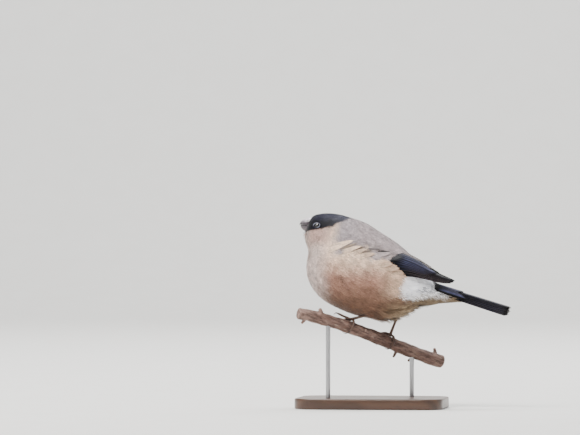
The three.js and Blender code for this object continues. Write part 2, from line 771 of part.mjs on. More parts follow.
function thigh(side, clearance = 0) {
  const here = FEET[side];
  const heel = vec(...here.heel);
  const top = vec(...here.thigh);
  const line = heel.clone().sub(top).normalize();
  const from = top.clone().addScaledVector(line, -clearance);
  const to = heel.clone().addScaledVector(line, THIGH.past + clearance);
  const path = [0, 0.35, 0.7, 1].map((t) => from.clone().lerp(to, t));
  return tube(path, THIGH.radii.map((r) => r + clearance), 12);
}

// Stand

function standBase() {
  const [w, h, r] = [BASE.length / 2 - BASE.bevel, BASE.width / 2 - BASE.bevel, BASE.corner];
  const outline = new THREE.Shape();
  outline.moveTo(-w + r, -h);
  outline.lineTo(w - r, -h).absarc(w - r, -h + r, r, -Math.PI / 2, 0, false);
  outline.lineTo(w, h - r).absarc(w - r, h - r, r, 0, Math.PI / 2, false);
  outline.lineTo(-w + r, h).absarc(-w + r, h - r, r, Math.PI / 2, Math.PI, false);
  outline.lineTo(-w, -h + r).absarc(-w + r, -h + r, r, Math.PI, 1.5 * Math.PI, false);
  const plate = new THREE.ExtrudeGeometry(outline, {
    depth: BASE.height - 2 * BASE.bevel,
    bevelThickness: BASE.bevel,
    bevelSize: BASE.bevel,
    bevelSegments: 1,
    curveSegments: 5,
  });
  return solidFrom(plate.translate(0, 0, BASE.bevel));
}

function rod({ at }, clearance = 0) {
  const top = perchCentre(at).z - PERCH.radius + ROD.inPerch + clearance;
  const low = BASE.height - ROD.inBase - clearance;
  const foot = perchCentre(at);
  const bar = new THREE.CylinderGeometry(ROD.radius + clearance, ROD.radius + clearance, top - low, 16);
  return solidFrom(bar.rotateX(Math.PI / 2).translate(foot.x, foot.y, (top + low) / 2));
}

// Assembly

const finishes = {
  cap: new THREE.MeshStandardMaterial({ color: 0x1c1d26, roughness: 0.75 }),
  greyBrown: new THREE.MeshStandardMaterial({ color: 0x9a8f86, roughness: 0.9 }),
  pinkBuff: new THREE.MeshStandardMaterial({ color: 0xb3927a, roughness: 0.9 }),
  white: new THREE.MeshStandardMaterial({ color: 0xe6e2df, roughness: 0.9 }),
  blueBlack: new THREE.MeshStandardMaterial({ color: 0x1b1e30, roughness: 0.45 }),
  horn: new THREE.MeshStandardMaterial({ color: 0x4a4648, roughness: 0.4 }),
  eye: new THREE.MeshStandardMaterial({ color: 0x0c0a0a, roughness: 0.08 }),
  leg: new THREE.MeshStandardMaterial({ color: 0x6b4a42, roughness: 0.55 }),
  claw: new THREE.MeshStandardMaterial({ color: 0x3a2f2c, roughness: 0.35 }),
  bark: new THREE.MeshStandardMaterial({ color: 0x6a5147, roughness: 0.85 }),
  steel: new THREE.MeshStandardMaterial({ color: 0x9a9a9a, roughness: 0.35, metalness: 1 }),
  wood: new THREE.MeshStandardMaterial({ color: 0x4a3a30, roughness: 0.5 }),
};

function meshOf(name, solid, finish) {
  const made = solid.getMesh();
  const places = new Float32Array(made.numVert * 3);
  for (let i = 0; i < made.numVert; i++) {
    places.set(made.vertProperties.subarray(i * made.numProp, i * made.numProp + 3), i * 3);
  }
  const geometry = new THREE.BufferGeometry();
  geometry.setAttribute("position", new THREE.BufferAttribute(places, 3));
  geometry.setIndex(new THREE.BufferAttribute(made.triVerts, 1));
  geometry.computeVertexNormals();
  const mesh = new THREE.Mesh(geometry, finishes[finish]);
  mesh.name = name;
  return mesh;
}

const bullfinch = new THREE.Group();
const add = (name, solid, finish) => bullfinch.add(meshOf(name, solid, finish));

const coat = plumage();
const wingBed = leftWingBed();
const beds = [wingBed, mirrored(wingBed), tailBed()];
for (const side of ["left", "right"]) beds.push(union([thigh(side, GAP), tarsus(side, GAP)]));
const carved = beds.reduce((solid, bed) => solid.subtract(bed), coat);

const headBlock = union([cutBy(coat, NAPE_CUT, true), lids(), mirrored(lids())]);
const billRoom = [billHalf(BILL.upper, true, GAP), billHalf(BILL.lower, false, GAP)];
const sockets = [eye(GAP), mirrored(eye(GAP)), ...billRoom];
add("head", whole(sockets.reduce((solid, s) => solid.subtract(s), headBlock)), "cap");
add("neck", whole(cutBy(cutBy(carved, NAPE_CUT, false), MANTLE_CUT, true)), "greyBrown");
add("torso", whole(cutBy(cutBy(carved, MANTLE_CUT, false), RUMP_CUT, true)), "pinkBuff");
add("rump", whole(cutBy(carved, RUMP_CUT, false)), "white");

add("eye_left", eye(), "eye");
add("eye_right", mirrored(eye()), "eye");
add("bill_upper", upperBill(), "horn");
add("bill_lower", billHalf(BILL.lower, false), "horn");

const wing = leftWing();
add("wing_left", wing, "blueBlack");
add("wing_right", mirrored(wing), "blueBlack");
add("tail", tail(), "blueBlack");

for (const side of ["left", "right"]) {
  add(`thigh_${side}`, whole(thigh(side).subtract(tarsus(side, GAP))), "pinkBuff");
  add(`tarsus_${side}`, tarsus(side), "leg");
  add(`foot_${side}`, foot(side), "leg");
  for (const toe of Object.keys(FEET[side].claws)) add(`claw_${side}_${toe}`, claw(side, toe), "claw");
}

const rodHoles = RODS.map((r) => rod(r, GAP));
add("perch", whole(rodHoles.reduce((solid, hole) => solid.subtract(hole), perch())), "bark");
add("stand_base", whole(rodHoles.reduce((solid, hole) => solid.subtract(hole), standBase())), "wood");
for (const r of RODS) add(r.name, rod(r), "steel");

export default bullfinch;
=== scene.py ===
import math

import bpy
import numpy as np
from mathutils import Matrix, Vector


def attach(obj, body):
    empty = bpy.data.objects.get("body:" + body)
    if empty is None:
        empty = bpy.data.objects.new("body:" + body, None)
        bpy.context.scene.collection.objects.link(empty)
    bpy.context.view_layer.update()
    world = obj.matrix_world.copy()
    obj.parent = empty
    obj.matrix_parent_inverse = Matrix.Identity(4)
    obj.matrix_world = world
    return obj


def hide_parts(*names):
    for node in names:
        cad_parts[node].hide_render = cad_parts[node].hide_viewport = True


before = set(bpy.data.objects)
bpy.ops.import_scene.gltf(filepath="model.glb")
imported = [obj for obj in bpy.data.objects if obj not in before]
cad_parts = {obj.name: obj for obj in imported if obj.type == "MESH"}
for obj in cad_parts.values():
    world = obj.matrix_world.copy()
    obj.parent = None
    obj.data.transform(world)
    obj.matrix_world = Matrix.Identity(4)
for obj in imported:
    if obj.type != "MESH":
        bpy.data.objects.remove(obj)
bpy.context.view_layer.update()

# Lengths are in millimetres until a mesh is made. X runs back along the bird, its middle plane is Y = 0.
metre = 0.001
fullTurn = 2 * math.pi


# Arrays

def unit(vectors):
    # each vector divided by its length
    return vectors / np.maximum(np.linalg.norm(vectors, axis=-1, keepdims=True), 1e-9)


def vectorsOf(*parts):
    # numbers or arrays spread to one size and put together as vectors
    return np.stack(np.broadcast_arrays(*parts), -1)


def between(first, last, t):
    # first (1 - t) + last t
    return np.asarray(first) * (1 - t) + np.asarray(last) * t


def circle(count):
    # equal angles once round
    return np.linspace(0, fullTurn, count, endpoint=False)


def smooth(value, low, high):
    # t t (3 - 2 t) with t from 0 at low to 1 at high; it falls where high is below low
    t = np.clip((value - low) / (high - low), 0, 1)
    return t * t * (3 - 2 * t)


def curve(rows, t):
    # Catmull-Rom through the rows: half of 2 p1 + (p2 - p0) f + square f f + cube f f f
    rows = np.asarray(rows, float)
    last = len(rows) - 1
    place = np.asarray(np.clip(t, 0, 1) * last)
    i = np.minimum(place.astype(int), last - 1)
    f = (place - i)[..., None]
    p0, p1, p2, p3 = (rows[np.clip(i + k, 0, last)] for k in (-1, 0, 1, 2))
    square = 2 * p0 - 5 * p1 + 4 * p2 - p3
    cube = 3 * p1 - p0 - 3 * p2 + p3
    return 0.5 * (2 * p1 + (p2 - p0) * f + square * f**2 + cube * f**3)


def turned(vectors, axes, angle):
    # vectors turned about unit axes: v cos + (axis x v) sin + axis (axis . v)(1 - cos)
    c, s = np.cos(angle)[..., None], np.sin(angle)[..., None]
    dot = np.sum(vectors * axes, axis=-1, keepdims=True)
    return vectors * c + np.cross(axes, vectors) * s + axes * dot * (1 - c)


def downAxis(vectors, axis):
    # vectors turned round where they point up the numbered axis
    return vectors * np.where(vectors[..., axis : axis + 1] > 0, -1, 1)


def flatTo(vectors, normals):
    # unit vectors without their share along the normals: v - n (v . n)
    return unit(vectors - normals * np.sum(vectors * normals, -1, keepdims=True))


def gridFaces(rows, columns, closed):
    # four-sided faces between neighbouring places of a grid; closed joins the last column to the first
    i = (np.arange(rows - 1) * columns)[:, None]
    j = np.arange(columns if closed else columns - 1)[None, :]
    k = (j + 1) % columns
    return np.stack([i + j, i + k, i + columns + k, i + columns + j], -1).reshape(-1, 4)


def outward(corners, faces):
    # faces turned over where the volume comes out below 0: sum of a . (b x c) over fans of the faces
    total = 0
    for face in faces:
        for k in range(1, face.shape[1] - 1):
            a, b, c = (corners[face[:, q]] for q in (0, k, k + 1))
            total += np.sum(a * np.cross(b, c))
    return faces if total > 0 else [face[:, ::-1] for face in faces]


def rounds(rings, startAt=None, endAt=None):
    # closed solids through rings: (solids, rings, round, 3); an end closes on its middle or a given place
    rings = rings if rings.ndim == 4 else rings[None]
    many, count, around = rings.shape[:3]
    starts = rings[:, 0].mean(1) if startAt is None else np.broadcast_to(startAt, (many, 3))
    ends = rings[:, -1].mean(1) if endAt is None else np.broadcast_to(endAt, (many, 3))
    corners = np.concatenate([rings.reshape(many, -1, 3), starts[:, None], ends[:, None]], 1)
    k = np.arange(around)
    after = (k + 1) % around
    pole, row = count * around + 0 * k, (count - 1) * around
    caps = np.concatenate([np.stack([pole, after, k], 1), np.stack([pole + 1, row + k, row + after], 1)])
    one = outward(corners[0], [gridFaces(count, around, True), caps])
    step = (np.arange(many) * corners.shape[1])[:, None, None]
    return corners.reshape(-1, 3), [(face[None] + step).reshape(-1, face.shape[1]) for face in one]


def joined(shapes):
    # several shapes as one: corner numbers move on by the corners before them
    corners, faces, start = [], [], 0
    for some, theirs in shapes:
        corners.append(some)
        faces += [face + start for face in theirs]
        start += len(some)
    return np.concatenate(corners), faces


def joinedSets(sets):
    # shapes with kept values as one shape with all the values
    values = {key: np.concatenate([those[key] for _, those in sets]) for key in sets[0][1]}
    return joined([one for one, _ in sets]), values


def mirrored(shape):
    # the shape on the other side of Y = 0, its faces turned over to match
    corners, faces = shape
    return corners * [1, -1, 1], [face[:, ::-1] for face in faces]


def ballShape(centre, radii, rows=24, columns=36, axis=None):
    # an ellipsoid: centre + radii (sin a cos b, sin a sin b, cos a), its poles on the axis if there is one
    a = np.linspace(0, math.pi, rows + 1)[1:-1, None]
    b = circle(columns)[None]
    shape = vectorsOf(np.sin(a) * np.cos(b), np.sin(a) * np.sin(b), np.cos(a))
    axes = np.eye(3)
    if axis is not None:
        side = unit(np.cross([0, 0, 1.0], axis))
        axes = np.stack([side, np.cross(axis, side), axis])
    poles = np.array([[0, 0, 1.0], [0, 0, -1.0]])
    placed, ends = ((part * radii) @ axes + centre for part in (shape, poles))
    return rounds(placed, *ends)


def tubeRings(path, radii, around, steps):
    # circles carried along a smooth path, turned as little as possible from one to the next
    t = np.linspace(0, 1, steps)
    centre = curve(path, t)
    radius = curve(np.asarray(radii, float)[:, None], t)
    line = unit(np.gradient(centre, axis=0))
    side = np.zeros_like(line)
    side[0] = unit(np.cross(line[0], [0, 0, 1.0] if abs(line[0][2]) < 0.9 else [0, 1.0, 0]))
    for i in range(1, steps):
        side[i] = flatTo(side[i - 1], line[i])
    up = np.cross(line, side)
    angle = circle(around)[None, :, None]
    return centre[:, None] + radius[:, None] * (np.cos(angle) * side[:, None] + np.sin(angle) * up[:, None])


def hoopShape(loop, centre, out, radius, around):
    # a closed tube round a loop: circles spanned by the way from the centre and the way out
    angle = circle(around)[None, :, None]
    away = unit(loop - centre)[:, None]
    corners = loop[:, None] + radius * (np.cos(angle) * away + np.sin(angle) * np.asarray(out, float))
    corners = corners.reshape(-1, 3)
    return corners, outward(corners, [gridFaces(len(loop) + 1, around, True) % len(corners)])


def addObject(name, data):
    made = bpy.data.objects.new(name, data)
    bpy.context.scene.collection.objects.link(made)
    return made


def addPiece(name, shape, material, replaced=(), values=None, bakeMap=None, normals=None):
    # values: name -> one number or vector for each corner
    corners, faces = shape
    mesh = bpy.data.meshes.new(name)
    loops = np.concatenate([face.ravel() for face in faces]).astype(np.int32)
    sizes = np.concatenate([np.full(len(face), face.shape[1]) for face in faces])
    starts = np.concatenate([[0], np.cumsum(sizes)[:-1]]).astype(np.int32)
    mesh.vertices.add(len(corners))
    mesh.vertices.foreach_set("co", (corners * metre).astype(np.float32).ravel())
    mesh.loops.add(len(loops))
    mesh.loops.foreach_set("vertex_index", loops)
    mesh.polygons.add(len(starts))
    mesh.polygons.foreach_set("loop_start", starts)
    mesh.update(calc_edges=True)
    mesh.shade_smooth()
    for key, value in (values or {}).items():
        layer = mesh.attributes.new(key, "FLOAT_VECTOR", "POINT")
        layer.data.foreach_set("vector", value.astype(np.float32).ravel())
    if bakeMap is not None:
        layer = mesh.uv_layers.new(name="OFBake")
        layer.data.foreach_set("uv", bakeMap[loops].astype(np.float32).ravel())
    if normals is not None:
        mesh.normals_split_custom_set_from_vertices(normals.astype(np.float32))
    mesh.materials.append(material)
    piece = addObject(name, mesh)
    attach(piece, "root")
    if replaced:
        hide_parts(*replaced)


# Shader maths

class Wire:
    # a node's output that can be written in sums

    def __init__(self, net, socket):
        self.net = net
        self.socket = socket

    def __add__(self, other):
        return self.net.maths("ADD", self, other)

    __radd__ = __add__

    def __sub__(self, other):
        return self.net.maths("SUBTRACT", self, other)

    def __rsub__(self, other):
        return self.net.maths("SUBTRACT", other, self)

    def __mul__(self, other):
        return self.net.maths("MULTIPLY", self, other)

    __rmul__ = __mul__

    def __truediv__(self, other):
        return self.net.maths("DIVIDE", self, other)

    def __abs__(self):
        return self.net.maths("ABSOLUTE", self)


class Net:
    # one material's nodes

    def __init__(self, name, **fixed):
        self.material = bpy.data.materials.new(name)
        self.material.use_nodes = True
        self.tree = self.material.node_tree
        self.shader = self.tree.nodes["Principled BSDF"]
        self.set(**fixed)

    def node(self, kind, settings=None, inputs=None, output=0):
        made = self.tree.nodes.new(kind)
        for key, value in (settings or {}).items():
            setattr(made, key, value)
        for key, value in (inputs or {}).items():
            self.join(made.inputs[key], value)
        return Wire(self, made.outputs[output])

    def join(self, target, value):
        if isinstance(value, Wire):
            self.tree.links.new(value.socket, target)
        else:
            target.default_value = value

    def set(self, **links):
        for key, value in links.items():
            self.join(self.shader.inputs[key.replace("_", " ")], value)
        return self.material

    def maths(self, operation, first, second=0.0):
        return self.node("ShaderNodeMath", {"operation": operation}, {0: first, 1: second})

    def vectorMaths(self, operation, first, second=(0, 0, 0), output=0):
        return self.node("ShaderNodeVectorMath", {"operation": operation}, {0: first, 1: second}, output)

    def least(self, first, second):
        return self.maths("MINIMUM", first, second)

    def most(self, first, second=0.0):
        return self.maths("MAXIMUM", first, second)

    def farness(self, *parts):
        # square root of the sum of part * part * weight
        return self.maths("SQRT", sum(part * part * weight for part, weight in parts))

    def step(self, value, low, high):
        # an S-shaped climb from 0 at low to 1 at high; it falls where high is below low
        settings = {"interpolation_type": "SMOOTHSTEP"}
        return self.node("ShaderNodeMapRange", settings, {"Value": value, "From Min": low, "From Max": high})

    def mix(self, factor, first, second):
        return self.node("ShaderNodeMix", {"data_type": "RGBA"}, {0: factor, 6: first, 7: second}, 2)

    def over(self, tones, *layers):
        # colours laid over the first one in turn, each by its own share
        for share, layer in layers:
            tones = self.mix(share, tones, layer)
        return tones

    def bright(self, tones, amount):
        # a colour times one number
        return self.node("ShaderNodeVectorMath", {"operation": "SCALE"}, {0: tones, "Scale": amount})

    def object(self):
        return self.node("ShaderNodeTexCoord", output="Object")

    def kept(self, key):
        return self.node("ShaderNodeAttribute", {"attribute_name": key}, output="Vector")

    def parts(self, vector, scale=1):
        made = self.node("ShaderNodeSeparateXYZ", inputs={0: vector}).socket.node
        wires = [Wire(self, out) for out in made.outputs]
        return wires if scale == 1 else [wire * scale for wire in wires]

    def vector(self, *parts):
        return self.node("ShaderNodeCombineXYZ", inputs=dict(enumerate(parts)))

    def noise(self, vector, scale, detail=2.0, rough=0.5):
        inputs = {"Vector": vector, "Scale": scale, "Detail": detail, "Roughness": rough}
        return self.node("ShaderNodeTexNoise", inputs=inputs)

    def cloud(self, *noise):
        # noise round 0
        return self.noise(*noise) - 0.5

    def bump(self, height, distance, strength=1.0, under=None):
        inputs = {"Height": height, "Distance": distance, "Strength": strength}
        if under is not None:
            inputs["Normal"] = under
        return self.node("ShaderNodeBump", inputs=inputs)


def tone(red, green, blueSheen):
    # a colour as the eye reads it, 0 to 255, for a shader
    linear = [((c / 255 + 0.055) / 1.055) ** 2.4 if c > 10 else c / 255 / 12.92 for c in (red, green, blueSheen)]
    return (*linear, 1.0)


def grainMaterial(name, stretch, noise, dark, light, bump=0, gloss=None, **fixed):
    # two tones mixed by one noise in stretched places, which may also roughen the surface
    net = Net(name, **fixed)
    grain = net.noise(net.vectorMaths("MULTIPLY", net.object(), stretch), *noise)
    if bump:
        net.set(Normal=net.bump(grain, 0.0001, bump))
    if gloss:
        net.set(Roughness=gloss[0] + grain * gloss[1])
    return net.set(Base_Color=net.mix(grain, dark, light))


# The plumage's form: ellipsoids in the middle plane that run together.

bodyForm = {
    "blend": 2.6,
    "reach": 75.0,
    "strides": 60,
    "halvings": 16,
    "faceCap": 0.16,
    "ventCap": 0.88,
    # x, z and the slope of the ring's axis along the line that rays are cast from
    "keel": [
        [-34, 117.5, 18], [-30, 111.5, 30], [-22, 101.5, 33], [-9, 92, 31],
        [9, 83, 25], [26, 79, 20], [44, 75.5, 12],
    ],
    # x, z, half length, half height, half width, and how far the tail end tilts down
    "blobs": {
        "skull": [-28.2, 118.5, 13.7, 9.4, 10.7, 0],
        "face": [-36.4, 119.8, 5.2, 5.8, 6.2, 0],
        "cheek": [-30.8, 111.4, 12.8, 8.8, 13.0, 0],
        "neck": [-15.5, 107.2, 19.2, 16.8, 19.5, 8],
        "breast": [-16.3, 92.5, 27.0, 25.6, 25.5, 0],
        "belly": [-1.0, 86.0, 30.0, 25.8, 27.0, 8],
        "loin": [10.0, 81.0, 21.0, 20.0, 22.0, 0],
        "mantle": [4.0, 99.2, 27.4, 13.2, 19.0, 37],
        "rump": [26.0, 82.0, 19.0, 10.5, 13.0, 30],
        "vent": [38.0, 76.0, 23.5, 5.4, 8.5, 8],
    },
    "rows": 240,
    "columns": 280,
}
beak = np.array([-44.0, 0.0, 120.5])  # where the coat starts
tailRoot = np.array([35, 0, 83.9])
tailSlope = math.radians(16.8)


def sideLine(x):
    # height of the lower border of the dark coverts along the tail's root
    return 79.1 - 0.33 * (x - 39.6)


def formDistance(places):
    # -blend * log(sum of exp(-distance to each ellipsoid / blend))
    x, y, z = places[..., 0], places[..., 1], places[..., 2]
    total = 0
    for cx, cz, long, high, wide, tilt in bodyForm["blobs"].values():
        c, s = math.cos(math.radians(tilt)), math.sin(math.radians(tilt))
        a = ((x - cx) * c - (z - cz) * s) / long
        b = ((x - cx) * s + (z - cz) * c) / high
        e = y / wide
        q = np.sqrt(a * a + b * b + e * e) + 1e-9
        slope = np.sqrt((a / long) ** 2 + (b / high) ** 2 + (e / wide) ** 2) / q + 1e-9
        total = total + np.exp(-np.clip((q - 1) / slope, -40, 90) / bodyForm["blend"])
    return -bodyForm["blend"] * np.log(total)


def formNormal(places):
    # the distance's slope along x, y and z, as unit vectors
    step = 0.05 * np.eye(3)
    return unit(np.stack([formDistance(places + d) - formDistance(places - d) for d in step], -1))


def castOut(origin, direction):
    # the outermost place of the form on each ray: strides inwards until inside, then halves the stride
    far = np.full(origin.shape[:-1], bodyForm["reach"])
    near = np.zeros_like(far)
    found = np.zeros_like(far, bool)
    for r in np.linspace(bodyForm["reach"], 0, bodyForm["strides"] + 1)[1:]:
        inside = (formDistance(origin + direction * r) < 0) & ~found
        near[inside] = r
        found |= inside
        far[~found] = r
    for _ in range(bodyForm["halvings"]):
        half = (near + far) / 2
        inside = formDistance(origin + direction * half[..., None]) < 0
        near = np.where(inside, half, near)
        far = np.where(inside, far, half)
    return origin + direction * near[..., None]


def castSideways(flat, side):
    # places of the form beside x and z in the middle plane
    origin = vectorsOf(flat[..., 0], 0.0, flat[..., 1])
    return castOut(origin, np.broadcast_to([0.0, side, 0.0], origin.shape))


def formGrid():
    # s runs from the face to the vent, the angle round the body from the back over its +Y side
    s = np.linspace(0, 1, bodyForm["rows"])[:, None]
    angle = np.linspace(0, fullTurn, bodyForm["columns"] + 1)[None, :]
    cap, tail = bodyForm["faceCap"], bodyForm["ventCap"]
    keel = curve(bodyForm["keel"], (s - cap) / (tail - cap))
    slope = np.radians(keel[..., 2])
    forward = vectorsOf(-np.cos(slope), 0.0, np.sin(slope))
    up = vectorsOf(forward[..., 2], 0.0, -forward[..., 0])
    swing = np.where(s < cap, s / cap, 1) * math.pi / 2
    swing = np.where(s > tail, (1 + (s - tail) / (1 - tail)) * math.pi / 2, swing)
    direction = (
        forward * np.cos(swing)[..., None]
        + up * (np.sin(swing) * np.cos(angle))[..., None]
        + np.array([0, 1.0, 0]) * (np.sin(swing) * np.sin(angle))[..., None]
    )
    return castOut(vectorsOf(keel[..., 0], 0.0, keel[..., 1]) + 0 * direction, direction)


formPlaces = formGrid()
formNormals = formNormal(formPlaces)
alongStep = np.gradient(formPlaces, axis=0) * (bodyForm["rows"] - 1)
roundStep = np.gradient(formPlaces, axis=1) * bodyForm["columns"]
print("form", formPlaces.shape)


def onGrid(grid, s, turn):
    # straight mixing between the four nearest places; turn is a share of the way round
    row = np.clip(s, 0, 1) * (bodyForm["rows"] - 1)
    column = (turn % 1.0) * bodyForm["columns"]
    i = np.minimum(row.astype(int), bodyForm["rows"] - 2)
    j = np.minimum(column.astype(int), bodyForm["columns"] - 1)
    f, g = (row - i)[..., None], (column - j)[..., None]
    low, high = (between(grid[k, j], grid[k, j + 1], g) for k in (i, i + 1))
    return between(low, high, f)


# Markings. Skin and coat read the same colours from a place.

marks = {
    "cap": tone(20, 19, 27),
    "capPaintedSheen": tone(52, 52, 76),
    "nape": tone(168, 157, 160),
    "mantle": tone(172, 158, 159),
    "mantleLow": tone(146, 134, 132),
    "cheek": tone(184, 148, 136),
    "throat": tone(214, 197, 190),
    "breastHigh": tone(250, 222, 196),
    # breastMid and breastLow are the breast's own colour darkened further as painted shade
    "breastMid": tone(168, 126, 108),
    "breastLow": tone(124, 92, 74),
    "flankRear": tone(232, 200, 172),
    "bellyRear": tone(166, 144, 116),
    # dark down in the gaps between feathers, darkened further as painted shade
    "gap": tone(74, 60, 62),
    "tailCover": tone(22, 23, 38),
    # white is past full brightness: painted light on the rump and vent
    "white": tone(274, 274, 279),
    # painted shade on the lower part of the white rump and vent
    "whitePaintedShade": tone(128, 110, 88),
    "smudge": tone(72, 72, 88),
    # scale, detail and roughness of the noises that fray the borders
    "patch": (120, 3, 0.6),
    "ragged": (420, 2, 0.6),
    "coarse": (45, 2, 0.5),
}


def alongCoat(net, parts, long, wide):
    # places turned to the feathers' slope, stretched along it
    x, y, z = parts
    return net.vector((x * 0.8 - z * 0.6) * long, y * wide, z * 0.8 + x * 0.6)


def plumageTones(net, place):
    # place in metres; answers the plumage's colour there and how black it is, by x, y and z in millimetres
    x, y, z = net.parts(place, 1000)
    patch, ragged, coarse = (net.cloud(place, *marks[key]) for key in ("patch", "ragged", "coarse"))
    slant = alongCoat(net, (x, y, z), 0.22, 0.6)
    streak = net.cloud(slant, 0.42, 3, 0.65)

    # pale shoulder over a breast and belly that darken downwards, partly their own colour and partly painted
    # shade under the top light; paler flank, pale throat and rosy cheek
    shoulder = z + (coarse + streak * 0.6) * 16 + net.least(x * -0.16, 3.0)
    shoulder = shoulder + net.most(x) * 0.3 - net.most(-14 - x) * 0.4
    cheek = net.step(z + patch * 8, 105, 113) * net.step(x + patch * 8, -20, -34)
    tones = net.over(
        marks["breastLow"],
        (net.step(z + (coarse + streak) * 14, 70, 92), marks["breastMid"]),
        (net.step(shoulder, 85, 105), marks["breastHigh"]),
        (net.step(x + coarse * 10, 0, 18) * net.step(z, 70, 80) * 0.8, marks["flankRear"]),
        (net.step(x + coarse * 8, -2, 18) * net.step(z, 74, 62), marks["bellyRear"]),
        (net.step((z - 95) * 0.10 - x + patch * 8, 24, 38) * 0.9, marks["throat"]),
        (cheek * net.step(x + coarse * 8, -44, -38) * 0.75, marks["cheek"]),
    )

    # the grey back above a curved border, with painted shade along its lower edge, and dark gaps where it
    # meets the flank, partly dark down and partly painted shade
    edge = 103 + (x + 21.7) * 0.4286 - (x + 21.7) * (x + 12.6) * 0.01914
    backLine = z - net.least(edge, 107.6 - 0.32 * x) + ragged * 2.4
    back = net.step(backLine, -0.5, 1.1) * net.step(x + patch * 5, -28, -20)
    side = net.step(x, -22, -17) * net.step(x, 16, 12)
    mantle = net.over(
        marks["mantle"],
        (net.step(x, 8, 40), marks["mantleLow"]),
        (net.step(x, -4, -18), marks["nape"]),
        # painted shade along the back's lower edge
        (net.step(backLine + patch * 4, 6.0, 0.5) * side * 0.7, marks["mantleLow"]),
    )
    gap = net.step(abs(backLine + 0.5 + ragged * 2.2), 1.1, 0.25) * net.step(patch + ragged, -0.12, 0.08)

    # a short dark slit in the breast's feathers, partly dark down and partly painted shade, and a grey bar
    # over the wing's front
    dx, dz = x + 19.5, z - 84.8
    slit = net.step(abs(dx * 0.887 + dz * 0.463) + ragged * 1.6, 1.0, 0.2)
    slit = slit * net.step(abs(dx * 0.463 - dz * 0.887), 6.5, 2.5)
    bar = net.step(x, -6, -1) * net.step(x, 13, 10) * net.step(z + ragged * 2, 98.6, 100.4)

    # the white rump behind a curved border, darkened below by painted shade, with a dark smudge; then the
    # tail's dark coverts
    rear = x - (17.4 + 0.045 * (z - 80) * (z - 80)) + patch * 5 + ragged * 3
    topRear = net.step(z - 0.6 * (x - 30), 88, 92)
    lift = net.most(30 - x) * 0.5 - net.most(x - 37) * 0.12
    spot = net.farness((x - 32.5, 0.1), (z - 79.4, 1)) + ragged * 3 + patch * 1.5
    whites = net.over(
        marks["whitePaintedShade"],
        (net.step(z + patch * 5 + lift, 72.5, 78.5), marks["white"]),
        (net.step(spot, 2.2, 0.9) * 0.85, marks["smudge"]),
    )
    cover = net.step(z - sideLine(x) + ragged * 2, -0.4, 0.6) * net.step(x, 36.5, 39)

    # the black cap with a painted sheen on its top, and the small bib below the bill
    capLine = z - (118.4 + 0.2 * (x + 36) + 0.36 * net.most(x + 27)) + ragged * 1.1 + patch * 0.8
    bib = net.farness((x + 43, 1), (y, 0.5), (z - 117.4, 1.4)) + ragged * 0.8
    black = net.most(net.step(capLine, -0.4, 0.4), net.step(bib, 2.8, 2.1))
    # painted sheen: the cap lighter towards its top
    paintedSheen = net.step(z + patch * 4 + (x + 30) * 0.12, 121, 128) * 0.7
    tones = net.over(
        tones,
        (slit * 0.7, marks["gap"]),
        (bar * 0.9, marks["nape"]),
        (back, mantle),
        (gap * side * 0.85, marks["gap"]),
        (net.step(rear, -1.8, 2.4) * (1 - topRear * back), whites),
        (cover, marks["tailCover"]),
        (black, net.mix(paintedSheen, marks["cap"], marks["capPaintedSheen"])),
    )
    shade = 1.0 + streak * 1.1 + net.cloud(slant, 1.7, 2, 0.6) * 0.6 + ragged * 0.15
    return net.bright(tones, shade), black


def skinMaterial():
    # the markings at 0.7 of their brightness, seen only between tufts
    net = Net("plumageSkin", Roughness=0.9)
    tones, _ = plumageTones(net, net.object())
    bump = net.bump(net.noise(net.object(), 900, 2), 0.0003, 0.5)
    return net.set(Base_Color=net.bright(tones, 0.7), Normal=bump)


def coatMaterial():
    # the marking at a tuft's root, lighter along its blades and between tufts, with strands over several
    net = Net("plumageCoat", Sheen_Weight=0.25, Sheen_Roughness=0.4, Specular_IOR_Level=0.25)
    tones, black = plumageTones(net, net.kept("rootPlace"))
    along, tuft, blade = net.parts(net.kept("tuftTone"))
    strands = alongCoat(net, net.parts(net.object(), 1000), 0.16, 0.5)
    grain = 1 + net.cloud(strands, 0.85, 3, 0.7) * 0.75 + net.cloud(net.object(), 1100, 2, 0.6) * 0.7
    shade = (0.61 + 0.48 * along) * (0.76 + 0.48 * tuft) * (0.92 + 0.16 * blade) * grain
    return net.set(Base_Color=net.bright(tones, shade), Roughness=0.62 - black * 0.2)


skinTone = skinMaterial()
coatTone = coatMaterial()

# The coat: tufts of fine blades over the skin.

